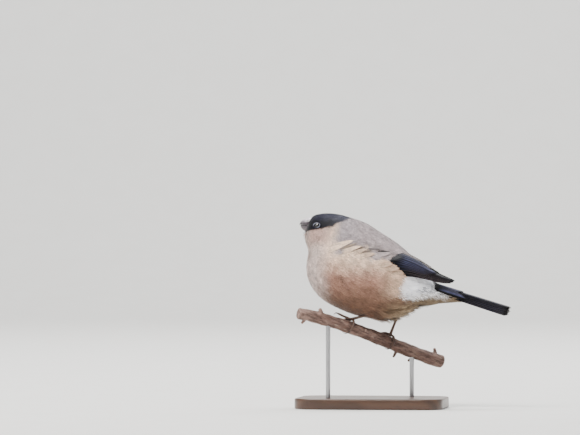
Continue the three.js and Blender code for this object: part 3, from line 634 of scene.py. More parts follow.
coat = {
    "seed": 41,
    "tufts": 42000,
    "quickShare": 3,
    "pieces": ["Face", "Crown", "Nape", "Throat", "Shoulder", "Breast", "Flank", "Belly", "Rump"],
    "blades": 7,
    "shares": np.array([0.0, 0.38, 0.74, 1.0]),  # stations along a blade
    "widths": np.array([0.8, 1.0, 0.72, 0.0]),  # and its width at them
    # by distance from the bill: a tuft's length, its height over the skin, and the skin's depth
    "distance": [3, 8, 16, 28, 48, 80, 110],
    "length": [0.9, 1.5, 2.4, 3.8, 6.0, 7.2, 6.4],
    "rise": [0.3, 0.5, 0.8, 1.15, 1.6, 1.7, 1.1],
    "depth": [1.1, 0.6, 0.8, 1.1, 1.5, 1.6, 1.0],
    "fan": 0.22,
    "bladeWidth": 0.036,  # of its length
    "thinnest": 0.045,
    "rootSunk": 0.12,
    # the least and the most of what is drawn evenly, the spread of what is drawn about 0
    "lengths": (0.78, 1.22),
    "reaches": (0.84, 1.1),
    "tops": (0.7, 1.1),
    "bladeTops": (0.88, 1.1),
    "lean": 0.10,
    "bladeLean": 0.06,
    "tilt": 0.28,
    "swayLean": 0.16,
    "loose": 0.55,
    "tailward": np.array([0.94, 0.0, -0.34]),
    "wingFront": {  # x of the folded wing's front edge, where the flank's feathers end over it, by height
        "z": [84, 87.6, 89.4, 93.4, 96, 97.6, 98.4, 100, 102.1, 105],
        "x": [26.5, 25.2, 23.7, 20.6, 17.4, 14.6, 12.6, 14.6, 17.4, 20.5],
    },
    "wingTop": {  # height of the folded wing's upper edge, by x
        "x": [2, 12, 17, 21, 26, 30.4, 38.7, 48, 56],
        "z": [103, 101.6, 101.2, 100.8, 99.4, 96.8, 91.6, 87.0, 83.8],
    },
    "wingFoot": {"x": [8, 18, 24, 34, 41, 48, 56], "z": [99, 93, 88.6, 87.4, 86.0, 84.6, 83.0]},
}


def fromBill(places):
    # distance from where the coat starts
    return np.linalg.norm(places - beak, axis=-1)


def byDistance(key, places):
    # one of the coat's rows by the distance from the bill, straight between its entries
    return np.interp(fromBill(places), coat["distance"], coat[key])


skinPlaces = formPlaces - formNormals * byDistance("depth", formPlaces)[..., None]
eyeSpot = castSideways(np.array([-35.4, 120.6]), -1.0)  # on the bird's left
eyeOut = formNormal(eyeSpot)


def lieOf(places, normals):
    # feathers point away from the bill on the head and turn tailwards over the body, flat on the form
    share = smooth(fromBill(places), 8, 62)[..., None] * 0.8
    return flatTo(between(unit(places - beak), coat["tailward"], share), normals)


def sway(places):
    # a slow swing of the lie over the body, so that neighbouring tufts lean together
    x, y, z = np.moveaxis(places, -1, 0)
    first = np.sin(x * 0.55 + 1.3 * np.sin(z * 0.31)) * np.sin(z * 0.47 + y * 0.3)
    return first + 0.6 * np.sin(x * 1.15 - z * 0.9 + y * 0.5)


def wingFront(height):
    # x of the wing's front edge, straight between its entries
    return np.interp(height, coat["wingFront"]["z"], coat["wingFront"]["x"])


def wingCover(places):
    # above 0 where the folded wing hides the coat: between its edges and behind its front
    x, y, z = places[..., 0], np.abs(places[..., 1]), places[..., 2]
    upper, lower = (np.interp(x, coat[key]["x"], coat[key]["z"]) for key in ("wingTop", "wingFoot"))
    front = wingFront(z) - 5.0 * smooth(z, 92, 96) * smooth(z, 102, 99)
    return np.where(y > 3, np.minimum(np.minimum(upper - z, z - lower), x - front), -1.0)


def tailCover(places):
    # above 0 where the tail's root lies over the rump
    x, y, z = places[..., 0], np.abs(places[..., 1]), places[..., 2]
    top = tailRoot[2] - (x - tailRoot[0]) * math.tan(tailSlope)
    return np.minimum(np.minimum(x - 36, 3.6 - y), z - (top - 4))


def coatDensity(places):
    # 1 / length ** 1.35, and none in the eye or bill, under the wing or the tail's root or past the vent
    x, y, z = places[..., 0], places[..., 1], places[..., 2]
    dense = 1 / byDistance("length", places) ** 1.35
    for side in (1, -1):
        dense = dense * (np.linalg.norm((places - eyeSpot * [1, side, 1]) / [1.12, 1, 0.92], axis=-1) > 2.3)
    hidden = (wingCover(places) >= 0.3) | (tailCover(places) >= 0) | ((z > sideLine(x) + 1.2) & (x > 41))
    inBill = (np.sqrt((y / 4.2) ** 2 + ((z - 120.6) / 4.9) ** 2) < 1) & (x < -38)
    return dense * ~(hidden | inBill | (x >= 58.5))


def drawRoots(rng, count):
    # roots drawn by area and density over the form's grid, put in order from the bill to the tail
    rows, columns = bodyForm["rows"] - 1, bodyForm["columns"]
    area = np.linalg.norm(np.cross(alongStep, roundStep), axis=-1)[:-1, :-1]
    weight = area * coatDensity(formPlaces)[:-1, :-1]
    cells = rng.choice(rows * columns, count, p=(weight / weight.sum()).ravel())
    s = (cells // columns + rng.random(count)) / rows
    turn = (cells % columns + rng.random(count)) / columns
    order = np.argsort(fromBill(onGrid(formPlaces, s, turn)))
    return s[order], turn[order]


def onForm(places, normals):
    # moved along their normals onto the form
    return places - normals * formDistance(places)[..., None]


def fluffOf(places):
    # 1 under the rear belly and thighs, where tufts stand out loosely, 0 elsewhere
    x, z = places[..., 0], places[..., 2]
    return smooth(x, -8, 6) * smooth(x, 36, 26) * smooth(z, 72, 63)


def ribbons(centre, across, half, share):
    # two corners at each station of a blade, half a width to each side, and one at its tip; with their shares
    reach = across * half
    sides = np.stack([centre - reach, centre + reach], 3)[:, :, :-1]
    corners = np.concatenate([sides.reshape(*centre.shape[:2], -1, 3), centre[:, :, -1:]], 2)
    return corners, np.concatenate([np.repeat(share[:-1], 2), [1.0]])


def growTufts(s, turn, rng):
    # each blade leans out from its tuft's line over the form and rises from the skin to the coat's top
    count, blades, share = len(s), coat["blades"], coat["shares"]
    root = onGrid(formPlaces, s, turn)
    rootOut = unit(onGrid(formNormals, s, turn))
    lie = lieOf(root, rootOut)
    length = byDistance("length", root) * rng.uniform(*coat["lengths"], count)
    side = np.cross(rootOut, lie)
    aheadOut = formNormal(onForm(root + lie * length[:, None], rootOut))

    spot = np.linspace(-1, 1, blades)
    lean = rng.normal(0, coat["lean"], count) + coat["swayLean"] * sway(root)
    lean = lean[:, None] + spot * coat["fan"] + rng.normal(0, coat["bladeLean"], (count, blades))
    reach = length[:, None] * (1 - 0.22 * spot**2) * rng.uniform(*coat["reaches"], (count, blades))
    run = reach[..., None] * share * np.cos(lean)[..., None]
    curl = 1.25 - 0.25 * np.abs(spot)[None, :, None]
    drift = (spot * length[:, None] * 0.09)[..., None] + (reach * np.sin(lean))[..., None] * share**curl
    start, lie, side, rootOut, aheadOut = (q[:, None, None] for q in (root, lie, side, rootOut, aheadOut))
    flat = start + lie * run[..., None] + side * drift[..., None]
    out = unit(between(rootOut, aheadOut, (run / length[:, None, None])[..., None]))

    loose = 1 + fluffOf(root)[:, None] * rng.exponential(coat["loose"], (count, 1))
    top = byDistance("rise", root)[:, None] * rng.uniform(*coat["tops"], (count, 1))
    top = top * rng.uniform(*coat["bladeTops"], (count, blades)) * loose
    height = (top[..., None] + coat["rootSunk"]) * np.sin(share * math.pi / 2) ** 0.85 - coat["rootSunk"]
    depth = byDistance("depth", root)[:, None, None]
    centre = onForm(flat, out) + out * (height - depth)[..., None]
    line = unit(np.gradient(centre, axis=2))
    tilt = rng.normal(0, coat["tilt"], (count, blades))[..., None] * np.ones_like(share)
    across = turned(unit(np.cross(out, line)), line, tilt)
    width = np.maximum(reach * coat["bladeWidth"], coat["thinnest"])[..., None] * coat["widths"]
    return *ribbons(centre, across, width[..., None], share), root, out, s, turn


flatMap = {"tuftWide": 0.0014, "bladeWide": 0.08, "tuftLong": 0.0028, "rim": 0.002}
facingShares = {"form": 0.75, "blade": 0.45}


def addBlades(name, rng, corners, level, root, out, s, turn, tones=0.0):
    # blades shaped (tufts, blades, corners, 3) as a piece: faces, kept values, a flat map and normals
    count, blades, each = corners.shape[:3]
    start = (np.arange(count * blades) * each)[:, None]
    quads = np.concatenate([start + np.array([k, k + 1, k + 3, k + 2]) for k in range(0, each - 3, 2)])
    tips = start + np.array([each - 3, each - 2, each - 1])
    facing = np.cross(corners[:, :, 1] - corners[:, :, 0], corners[:, :, 2] - corners[:, :, 0])
    if np.mean(np.sum(facing * out[:, :, 0], -1)) < 0:
        quads, tips = quads[:, ::-1], tips[:, ::-1]
    tufts = rng.random((count, 1, 1)) + np.reshape(tones, (-1, 1, 1))
    singles = rng.random((count, blades, 1))
    values = {
        "rootPlace": np.broadcast_to(root[:, None, None] * metre, corners.shape).reshape(-1, 3),
        "tuftTone": vectorsOf(level, tufts, singles).reshape(-1, 3),
    }
    edge = np.concatenate([np.tile([-1.0, 1.0], (each - 1) // 2), [0.0]])
    spread = (np.linspace(-1, 1, blades)[None, :, None] + edge * flatMap["bladeWide"]) * flatMap["tuftWide"]
    flat = vectorsOf(turn[:, None, None] + spread, s[:, None, None] + level * flatMap["tuftLong"])
    spine = np.concatenate([np.repeat(out[:, :, :-1], 2, axis=2), out[:, :, -1:]], 2)
    blade = unit(facing)[:, :, None]
    blade = blade * np.where(np.sum(blade * spine, -1, keepdims=True) < 0, -1, 1)
    normals = unit(spine * facingShares["form"] + blade * facingShares["blade"]).reshape(-1, 3)
    flat = np.clip(flat, flatMap["rim"], 1 - flatMap["rim"]).reshape(-1, 2)
    shape = corners.reshape(-1, 3), [quads, tips]
    addPiece(name, shape, coatTone, (), values, flat, normals)


fleshNodes = ("head", "neck", "torso", "rump", "thigh_left", "thigh_right")
skinShape = rounds(skinPlaces[1:-1, :-1], skinPlaces[0, 0], skinPlaces[-1, 0])
addPiece("skin", skinShape, skinTone, fleshNodes)
coatRng = np.random.default_rng(coat["seed"])
rootS, rootTurn = drawRoots(coatRng, coat["tufts"] // (1))
for name, some in zip(coat["pieces"], np.array_split(np.arange(len(rootS)), len(coat["pieces"]))):
    grown = growTufts(rootS[some], rootTurn[some], coatRng)
    addBlades("coat" + name, coatRng, *grown)
print("coat", len(coat["pieces"]), "pieces")

# Loose plumes: locks of long soft blades that close to a point over the breast's side and the wing's front.

locks = {
    "seed": 90,
    "blades": 34,
    "shares": np.linspace(0, 1, 6),
    "halves": np.interp(np.linspace(0, 1, 6), [0, 0.3, 0.8, 1], [0.16, 0.20, 0.12, 0.0]),
    "uneven": 0.25 * np.array([1, 1, 1, 1, 0.3, 0.2, 0.3]),
    # root x and z, tip x and z, half width at the root, height over the coat, on the bird's left, and tone
    "places": [
        (-26.5, 105.0, -8.6, 110.6, 2.4, 0.9, 0),
        (-30.5, 103.2, -15.0, 107.4, 2.0, 0.5, 0),
        (-19.8, 102.4, -3.6, 107.2, 1.9, 1.0, 0),
        (-12.4, 101.4, 0.6, 104.8, 1.8, 0.9, 0),
        (-7.0, 99.6, 6.0, 102.2, 2.0, 0.7, 0),
        (2.0, 99.8, 15.4, 102.4, 2.0, 0.7, 0),
        (2.4, 95.6, 12.4, 97.0, 2.0, 0.7, 0),
        (5.6, 94.0, 17.0, 95.4, 2.0, 0.7, 0),
        (9.0, 91.6, 21.2, 92.4, 2.1, 0.7, 0),
        (12.0, 89.6, 24.6, 89.4, 2.2, 0.6, 0),
        (9.6, 87.4, 24.4, 86.6, 2.0, 0.4, 0),
        # the last five are dark locks between the pale ones: painted shade over the dark down
        (-20.5, 104.3, -6.8, 108.8, 0.7, 0.55, -1.25),
        (-15.5, 103.0, -1.6, 106.2, 0.7, 0.5, -1.35),
        (-8.5, 101.9, 3.4, 104.2, 0.7, 0.45, -1.25),
        (-4.0, 105.0, 8.5, 104.4, 0.7, 0.6, -1.6),
        (3.0, 104.2, 15.0, 102.4, 0.7, 0.6, -1.6),
    ],
    # colours of locks that start before this x are read this much lower
    "lowFrom": -5,
    "lower": 3.5,
}


def mapPlace(x):
    # a row of the flat map by place along the body
    return np.interp(x, [-44, 60], [0.05, 0.95])


def growLocks(side, rng):
    # blades start across a lock's root and run together at its tip, lifted in the middle
    places, blades, share = np.array(locks["places"]), locks["blades"], locks["shares"]
    rows = places + rng.normal(0, 1, places.shape) * locks["uneven"]
    several = (len(rows), blades)
    start, line = rows[:, 0:2], rows[:, 2:4] - rows[:, 0:2]
    sideways = unit(np.stack([-line[:, 1], line[:, 0]], -1))
    spot = np.linspace(-1, 1, blades) + rng.normal(0, 0.06, several)
    begin = rng.uniform(0.0, 0.5, several)[..., None]
    finish = (rng.uniform(0.86, 1.0, several) - 0.10 * np.abs(spot))[..., None]
    t = begin + (finish - begin) * share
    aside = spot[..., None] * rows[:, 4, None, None] * (1 - 0.82 * t**1.4)
    begin, line, sideways = (q[:, None, None] for q in (start, line, sideways))
    surface = castSideways(begin + line * t[..., None] + sideways * aside[..., None], side)
    out = formNormal(surface)
    high = rng.uniform(0.5, 1.1, (*several, 1)) * rows[:, 5, None, None]
    height = -0.5 + (0.5 + high) * np.sin(np.clip(share * 1.25, 0, 1) * math.pi / 2)
    centre = surface + out * height[..., None]
    across = unit(np.cross(out, unit(np.gradient(centre, axis=2))))
    corners, level = ribbons(centre, across, locks["halves"][:, None], share)
    lower = np.where(start[:, :1] < locks["lowFrom"], locks["lower"], 0.0) * [0, 0, 1]
    turn = np.full(len(rows), 0.25 if side > 0 else 0.75)
    return corners, level, surface[:, blades // 2, 1] - lower, out, mapPlace(start[:, 0]), turn, rows[:, 6]


lockRng = np.random.default_rng(locks["seed"])
for name, side in (("locksLeft", -1.0), ("locksRight", 1.0)):
    addBlades(name, lockRng, *growLocks(side, lockRng))
print("locks")

plumes = {
    "seed": 23,
    "blades": 24,
    "shares": np.linspace(0, 1, 5),
    "halves": np.array([0.12, 0.15, 0.12, 0.07, 0]),
    # for each group the place whose marking colours it, then root, tip and spread across of its plumes
    "groups": {
        (-41, -3, 110): [
            (-43.3, 1.8, 116.0, -45.4, 2.2, 113.0, 1.2),
            (-43.5, 0.0, 116.2, -46.0, -0.2, 113.6, 1.3),
            (-43.4, -1.8, 115.2, -45.8, -2.4, 112.2, 1.3),
            (-43.6, 0.4, 114.0, -45.6, 0.4, 110.8, 1.4),
            (-42.8, -3.4, 116.0, -45.2, -4.4, 113.2, 1.2),
            (-41.8, -5.0, 116.4, -44.0, -6.4, 113.8, 1.2),
            (-42.8, 3.6, 115.8, -44.8, 4.6, 113.0, 1.2),
        ],
        (-43, 0, 117.4): [
            (-43.2, -2.4, 117.2, -45.3, -3.0, 114.8, 0.7),
            (-42.0, -4.6, 117.4, -44.0, -5.8, 115.2, 0.7),
        ],
        (30, -9, 84): [
            (36.5, -1.0, 85.6, 49.6, -1.6, 81.0, 1.8),
            (36.2, -3.4, 85.4, 48.4, -4.0, 81.0, 1.6),
            (36.2, 2.6, 85.4, 48.2, 2.8, 81.0, 1.6),
        ],
        (20, -3, 101): [
            (15.0, -7.5, 104.6, 30.5, -8.2, 99.0, 2.8),
            (15.0, 0.0, 105.8, 31.5, 0.0, 99.4, 3.0),
            (15.0, 7.5, 104.6, 30.5, 8.2, 99.0, 2.8),
        ],
        (26, -3, 98): [
            (21.0, -4.5, 102.4, 36.0, -4.8, 95.6, 2.8),
            (21.0, 4.5, 102.4, 36.0, 4.8, 95.6, 2.8),
            (24.0, -7.6, 100.2, 38.5, -6.8, 93.4, 2.2),
            (24.0, 0.0, 101.0, 40.0, 0.0, 93.0, 2.8),
            (24.0, 7.6, 100.2, 38.5, 6.8, 93.4, 2.2),
        ],
        (28, -3, 96): [
            (29.0, -3.4, 97.4, 43.0, -3.4, 90.4, 2.4),
            (29.0, 3.4, 97.4, 43.0, 3.4, 90.4, 2.4),
        ],
    },
}


def growPlumes(rng):
    # blades from root to tip in a straight line with a slight arch, drawn together at the tip
    rows = np.concatenate(list(plumes["groups"].values()))
    colour = np.repeat(list(plumes["groups"]), [len(group) for group in plumes["groups"].values()], axis=0)
    root, line, wide = rows[:, 0:3], rows[:, 3:6] - rows[:, 0:3], rows[:, 6, None, None]
    share, several = plumes["shares"], (len(rows), plumes["blades"], 1)
    across = unit(np.cross(line, [0, 0, 1.0]))
    arch = unit(np.cross(across, line))
    spot = np.linspace(-1, 1, plumes["blades"])[None, :, None] + rng.normal(0, 0.08, several)
    reach = share * rng.uniform(0.75, 1.08, several)
    lift = 0.3 * np.sin(math.pi * share) + rng.normal(0, 0.18, several) * share
    aside = spot * wide * (1 - 0.5 * share)
    root, line, across, arch = (part[:, None, None] for part in (root, line, across, arch))
    centre = root + line * reach[..., None] + across * aside[..., None] + arch * lift[..., None]
    corners, level = ribbons(centre, across, plumes["halves"][:, None], share)
    turn = np.where(rows[:, 1] > 0, 0.1, 0.9)
    return corners, level, colour, arch + 0 * centre, mapPlace(rows[:, 0]), turn


plumeRng = np.random.default_rng(plumes["seed"])
addBlades("plumes", plumeRng, *growPlumes(plumeRng))
print("plumes")


# Flight feathers

wing = {
    "seeds": {"left": 7, "right": 8},
    "upper": [
        [2, -16.4, 110], [12, -15.2, 105.4], [22, -12.2, 101], [31, -9.2, 96.4],
        [40, -6.8, 90.8], [47.5, -5.2, 87.2], [55, -3.4, 84],
    ],
    "lower": [
        [-2, -24.8, 93.5], [9, -23.8, 92], [19, -21.3, 89.4], [29, -17.2, 87.6],
        [38, -13.2, 85.6], [46.5, -9.2, 83.1], [54.5, -5, 81],
    ],
    "bulge": 2.6,
    "shingle": 9,
    "sunk": 1.1,  # below the body's form at the wing's front edge
    # how many, half width, lift off the sheet, how pointed; roots and tips of the first and last feather
    # as places on the sheet; the shares of pale and of painted blue sheen on the first and the last feather
    "tiers": {
        "primary": (
            9, 1.8, 0.1, 0.7, [0.2, 0.46], [0.12, 0.97], [1.0, 0.14], [0.93, 0.90], (0.05, 0.9), (0, 0)
        ),
        "secondary": (
            7, 2.3, 0.5, 0.35, [0.2, 0.26], [0.16, 0.80], [0.76, 0.30], [0.66, 0.78], (0.25, 0.5), (1, 0)
        ),
        "tertial": (
            3, 2.6, 0.95, 0.3, [0.2, 0.04], [0.2, 0.24], [0.62, 0.02], [0.74, 0.22], (0.3, 0.2), (0.5, 1)
        ),
        "covert": (
            6, 2.1, 1.2, 0.1, [0.02, 0.14], [0.02, 0.66], [0.26, 0.10], [0.24, 0.52], (0.5, 0.5), (0.4, 0.2)
        ),
    },
    "stations": 30,
}
vane = {"columns": 9, "camber": 0.22, "ridge": 0.09, "ridgeWidth": 0.11, "thinnest": 0.02}


def wingSheet(u, v, lift):
    # a ruled sheet between the wing's two edges, bulged outwards by 4 w (1 - w); places and ways outwards
    def ruled(uu, vv):
        a, b = curve(wing["upper"], uu), curve(wing["lower"], uu)
        chord = b - a
        span = np.linalg.norm(chord, axis=-1, keepdims=True)
        out = downAxis(unit(vectorsOf(-0.25, chord[..., 2], -chord[..., 1])), 1)
        w = np.asarray(vv)[..., None]
        return a + chord * w + out * wing["bulge"] * np.minimum(1, span / 14) * 4 * w * (1 - w)

    step = 0.01
    inside = np.clip(u, step, 1 - step)
    back = unit(ruled(inside + step, v) - ruled(inside - step, v))
    down = unit(ruled(inside, v + step) - ruled(inside, v - step))
    out = downAxis(unit(np.cross(back, down)), 1)
    return ruled(np.clip(u, 0, 1), v) + out * lift[..., None], out


def webWidth(t, pointed):
    # half width along a feather, as a share: slim root, even web, and a tip from round to pointed
    body = 0.5 + 0.5 * smooth(t, 0, 0.35)
    start = 0.80 - 0.22 * pointed
    tip = np.clip((t - start) / (1.0 - start), 0, 1)
    return body * (1 - tip ** (2.6 - pointed)) ** (0.5 + 0.3 * pointed)


def featherSet(centre, side, out, half, pale, blueSheen, rng, shaftAt, thickness=0.22, curl=0.0):
    # several feathers at once: a lens-shaped section round each station, edge to edge over a raised shaft
    # and back underneath, with each corner's place in its feather and its feather's own tones
    count, stations = half.shape
    c = np.sin(np.linspace(-1, 1, vane["columns"]) * math.pi / 2)
    bent = vane["camber"] * (1 - c * c) - curl * np.abs(c) ** 6
    top = bent + vane["ridge"] * np.exp(-(((c - shaftAt) / vane["ridgeWidth"]) ** 2))
    under = bent - thickness * (1 - np.abs(c) ** 3)
    across = np.concatenate([c, c[-2:0:-1]])
    half = half[..., None, None]
    rise = np.concatenate([top, under[-2:0:-1]])[:, None] * np.minimum(1, half)
    centre, side, out = (part[..., None, :] for part in (centre, side, out))
    shape = rounds(centre + side * half * across[:, None] + out * rise)
    t = np.linspace(0, 1, stations)[:, None]
    place = vectorsOf(t, across, rng.random((count, 1, 1))).reshape(count, -1, 3)
    place = np.concatenate([place, place[:, [0, -1]] * [1, 0, 1]], 1)
    tones = vectorsOf(np.linspace(*pale, count), np.linspace(*blueSheen, count), 0.0)[:, None] + 0 * place
    return shape, {"featherPlace": place.reshape(-1, 3), "featherTone": tones.reshape(-1, 3)}


def wingTier(rng, count, width, lift, pointed, firstRoot, lastRoot, firstTip, lastTip, pale, blueSheen):
    # feathers fan from the first root and tip to the last, laid on the sheet and tilted like shingles
    t = np.linspace(0, 1, count)[:, None]
    share = np.linspace(0, 1, wing["stations"])[None, :]
    root = between(firstRoot, lastRoot, t)
    tip = between(firstTip, lastTip, t) + rng.normal(0, 0.006, (count, 2))
    u, v = (between(root[:, k, None], tip[:, k, None], share) for k in (0, 1))
    over = lift * (0.3 + 0.7 * np.clip(share * 2, 0, 1)) + np.linspace(0.12, -0.12, count)[:, None]
    centre, out = wingSheet(u, v, over)
    sink = smooth(centre[..., 0] - wingFront(centre[..., 2]), 6.5, -2.0)
    centre = centre - formNormal(centre) * ((formDistance(centre) + wing["sunk"]) * sink)[..., None]
    line = unit(np.gradient(centre, axis=1))
    side = downAxis(unit(np.cross(out, line)), 2)
    sign = np.where(np.sum(np.cross(side, out) * line, -1) > 0, 1, -1)
    side = turned(side, line, sign * math.radians(wing["shingle"]))
    half = width * rng.uniform(0.95, 1.05, (count, 1)) * webWidth(share, pointed)
    half = np.maximum(half, vane["thinnest"])
    return featherSet(centre, side, flatTo(out, side), half, pale, blueSheen, rng, 0.25, 0.2)


def wingSet(seed):
    # the four tiers from the lowest feathers up
    rng = np.random.default_rng(seed)
    return joinedSets([wingTier(rng, *tier) for tier in wing["tiers"].values()])


def featherMaterial(name, dark, blueSheen, pale, edge, coatWeight, rimFrom):
    # dark with a painted blue sheen on the web, pale rims and tips, a dark shaft, and sine lines for the
    # barbs slanting off it
    net = Net(name, Coat_Roughness=0.25, Specular_IOR_Level=0.14)
    place = net.kept("featherPlace")
    along, across, single = net.parts(place)
    paleShare, blueSheenShare, _ = net.parts(net.kept("featherTone"))
    wide = abs(across)
    cloud = net.noise(net.object(), 260, 3, 0.6)
    barbs = net.maths("SINE", (along * 150 - wide * 9 + net.noise(place, 3) * 3) * fullTurn)
    web = net.step(across + cloud * 0.3 - 0.15, -0.1, 0.45) * net.step(across, 0.95, 0.55)
    web = web * net.step(along, 0.2, 0.42) * net.step(along, 1.0, 0.86)
    rim = net.step(wide + along * 0.03, rimFrom, 1.0) * net.step(along, 0.3, 0.6)
    tip = net.step(along + (cloud - 0.5) * 0.3, 0.14, 0.4) * net.step(paleShare, 0.92, 0.98)
    shaft = net.step(abs(across - 0.25), 0.07, 0.02)
    tones = net.over(
        dark,
        # painted blue sheen in streaks over the web
        (blueSheenShare * web * (0.35 + 0.9 * cloud), blueSheen),
        (net.least(rim * paleShare, 0.85), edge),
        (tip, pale),
        (shaft * 0.5, tone(14, 12, 14)),
    )
    return net.set(
        Base_Color=net.bright(tones, (0.94 + 0.08 * barbs) * (0.85 + 0.30 * single)),
        Roughness=0.42 + 0.2 * cloud + tip * 0.2,
        Coat_Weight=coatWeight * (1 - tip),
        Normal=net.bump(barbs, 0.00004, 0.5, net.bump(cloud, 0.0003, 0.2)),
    )


# the second tone is the painted blue sheen
wingTones = tone(12, 11, 17), tone(88, 92, 130), tone(160, 148, 154), tone(132, 118, 120)
wingTone = featherMaterial("wingFeathers", *wingTones, 0.06, 0.87)
for side, seed in wing["seeds"].items():
    shape, values = wingSet(seed)
    shape = shape if side == "left" else mirrored(shape)
    addPiece("wing" + side.capitalize(), shape, wingTone, ("wing_" + side,), values)
print("wings")

tail = {
    "seed": 3,
    "length": 59.5,
    "pairs": 6,
    "rootHalf": 1.6,
    "tipHalf": 5.6,
    "half": 2.6,
    "layer": 0.87,
    "arch": 0.8,
    "curl": 0.32,  # how far a feather's edges bend down
    "stations": 34,
    "thinnest": 0.03,
    "coverts": 15,
    "covertLength": 27.0,
    "covertHalf": 2.2,
    # dark coverts on both sides of the root: x and z of the lowest one's root and tip, then the highest one's
    "sideRoots": [[38.6, 80.0], [41.5, 81.2]],
    "sideTips": [[63.5, 72.0], [58.5, 75.9]],
    "sides": 6,
    "sideHalf": 1.2,
    "sideStations": 26,
    "sideTaper": 0.72,  # share where they narrow to their tips
    "bodyHalf": 5.4,  # least way out of the middle plane where the body ends, from one x to the other
    "bodyEnds": (44, 54),
    "slim": 8,  # the body counts as ending where it reaches out less than this
    "rootSunk": 1.0,
    "rise": 1.4,
    "stagger": 0.08,
}


def tailPlace(u, v, depth):
    # u along the tail, v from -1 to 1 across its fan, layers deeper towards the outer pairs; each place
    # drops by arch v v u and its feather rolls by the slope of that
    back = np.array([math.cos(tailSlope), 0, -math.sin(tailSlope)])
    up = np.array([math.sin(tailSlope), 0, math.cos(tailSlope)])
    half = between(tail["rootHalf"], tail["tipHalf"], u)
    drop = depth + tail["arch"] * v * v * u
    place = tailRoot + back * (u * tail["length"])[..., None] - up * drop[..., None]
    place = place + np.array([0, 1.0, 0]) * (v * half)[..., None]
    roll = -np.arctan2(2 * tail["arch"] * v * u, half)
    side, out = (turned(np.broadcast_to(q, place.shape), back, roll) for q in ([0, 1.0, 0], up))
    return place, side, out


def tailSet(v, depth, length, width, pale, blueSheen, rng, square):
    # straight feathers from the root, widening over their first half and rounded from the square share on
    share = np.linspace(0, 1, tail["stations"])[None, :]
    u = share * (length / tail["length"])[:, None]
    centre, side, out = tailPlace(u, v[:, None], depth[:, None])
    tip = np.clip((share - square) / (1 - square), 0, 1)
    half = width * (0.42 + 0.58 * smooth(share, 0, 0.5)) * (1 - tip**3.2) ** 0.5
    half = np.maximum(half, tail["thinnest"]) + 0 * u
    flip = np.where(v > 0, 1, -1)[:, None, None]
    return featherSet(centre, side * flip, out, half, pale, blueSheen, rng, 0.15, curl=tail["curl"])


def sideCoverts(side, rng):
    # feathers laid on the body's side from its rump to the tail, each a little higher than the last
    t = np.linspace(0, 1, tail["sides"])[:, None]
    share = np.linspace(0, 1, tail["sideStations"])[None, :]
    root = between(*np.array(tail["sideRoots"]), t)
    tip = between(*np.array(tail["sideTips"]), t) + rng.normal(0, 0.4, (tail["sides"], 2)) * [1, 0]
    flat = between(root[:, None], tip[:, None], share[..., None])
    reach = np.abs(castSideways(flat, side)[..., 1])
    least = tail["bodyHalf"] * smooth(flat[..., 0], *tail["bodyEnds"]) * (1 - 0.35 * t)
    blend = (np.sqrt(reach**2 + least**2 * (reach < tail["slim"])) + np.maximum(reach, least)) / 2
    lift = tail["rise"] * smooth(share, 0, 0.25) - tail["rootSunk"] + tail["stagger"] * t * tail["sides"]
    centre = vectorsOf(flat[..., 0], side * (blend + lift), flat[..., 1])
    line = unit(np.gradient(centre, axis=1))
    out = flatTo(np.broadcast_to(unit(np.array([0.1, side, 0.35])), centre.shape), line)
    tip = np.clip((share - tail["sideTaper"]) / (1 - tail["sideTaper"]), 0, 1)
    half = tail["sideHalf"] * (0.5 + 0.5 * smooth(share, 0, 0.3)) * (1 - tip**2.2) ** 0.6
    half = np.maximum(half, tail["thinnest"]) + 0 * t
    return featherSet(centre, unit(np.cross(out, line)), out, half, (0.6, 0.6), (0.8, 0.5), rng, 0.1)


def tailShape():
    # six pairs of feathers, the outer ones lower, then the coverts over the root and on both its sides
    rng = np.random.default_rng(tail["seed"])
    pair = np.arange(tail["pairs"])
    sign = np.array([[-1.0], [1.0]])
    v = (sign * (0.2 + 0.8 * pair / (tail["pairs"] - 1))).ravel()
    depth = (pair * tail["layer"] + np.array([[0.22], [0.0]])).ravel()
    length = (tail["length"] + 0.3 - 0.1 * pair + 0 * sign).ravel() + rng.normal(0, 0.15, 2 * tail["pairs"])
    plain = tailSet(v, depth, length, tail["half"], (0.9, 0.9), (0.3, 0.3), rng, 0.93)
    spot = np.linspace(-1, 1, tail["coverts"])
    length = tail["covertLength"] - 5 * np.abs(spot) + rng.normal(0, 0.6, len(spot))
    depth = -0.5 + 4.2 * spot**2 - 0.14 * (np.arange(len(spot)) % 2)
    covert = tailSet(1.85 * spot, depth, length, tail["covertHalf"], (0, 0), (0.7, 0.7), rng, 0.7)
    return joinedSets([plain, covert, sideCoverts(-1.0, rng), sideCoverts(1.0, rng)])


# the second tone is the painted blue sheen
tailTones = tone(7, 6, 8), tone(78, 80, 116), tone(7, 6, 8), tone(90, 78, 76)
tailTone = featherMaterial("tailFeathers", *tailTones, 0.0, 0.985)
shape, values = tailShape()
addPiece("tailFan", shape, tailTone, ("tail",), values)
print("tail")


# Bill and eyes

bill = {
    "rootX": -36.0,
    "baseX": -39.6,
    "gapeZ": 120.2,
    "edgeRise": 1.0,
    "edgeEnd": math.radians(70),
    "end": 88,
    # start, hook and gap: the arch's height over the gape, the edge's drop at the tip and its drop all along
    "upper": dict(sign=1, length=8.7, height=5.2, width=4.1, droop=1, start=0.3, hook=0.5, gap=0, ridge=0.05),
    "lower": dict(
        sign=-1, length=8.0, height=4.9, width=3.8, droop=1.35, start=-0.18, hook=0, gap=0.18, ridge=0
    ),
}
nostril = {
    "at": np.array([-42.0, 0, 123.5]),
    "out": 3.02,  # from the middle plane
    "long": 0.62,
    "high": 0.46,
    "bent": 0.12,
    "tube": 0.13,
    "pitOut": 2.86,
    "pit": [0.52, 0.24, 0.36],
}


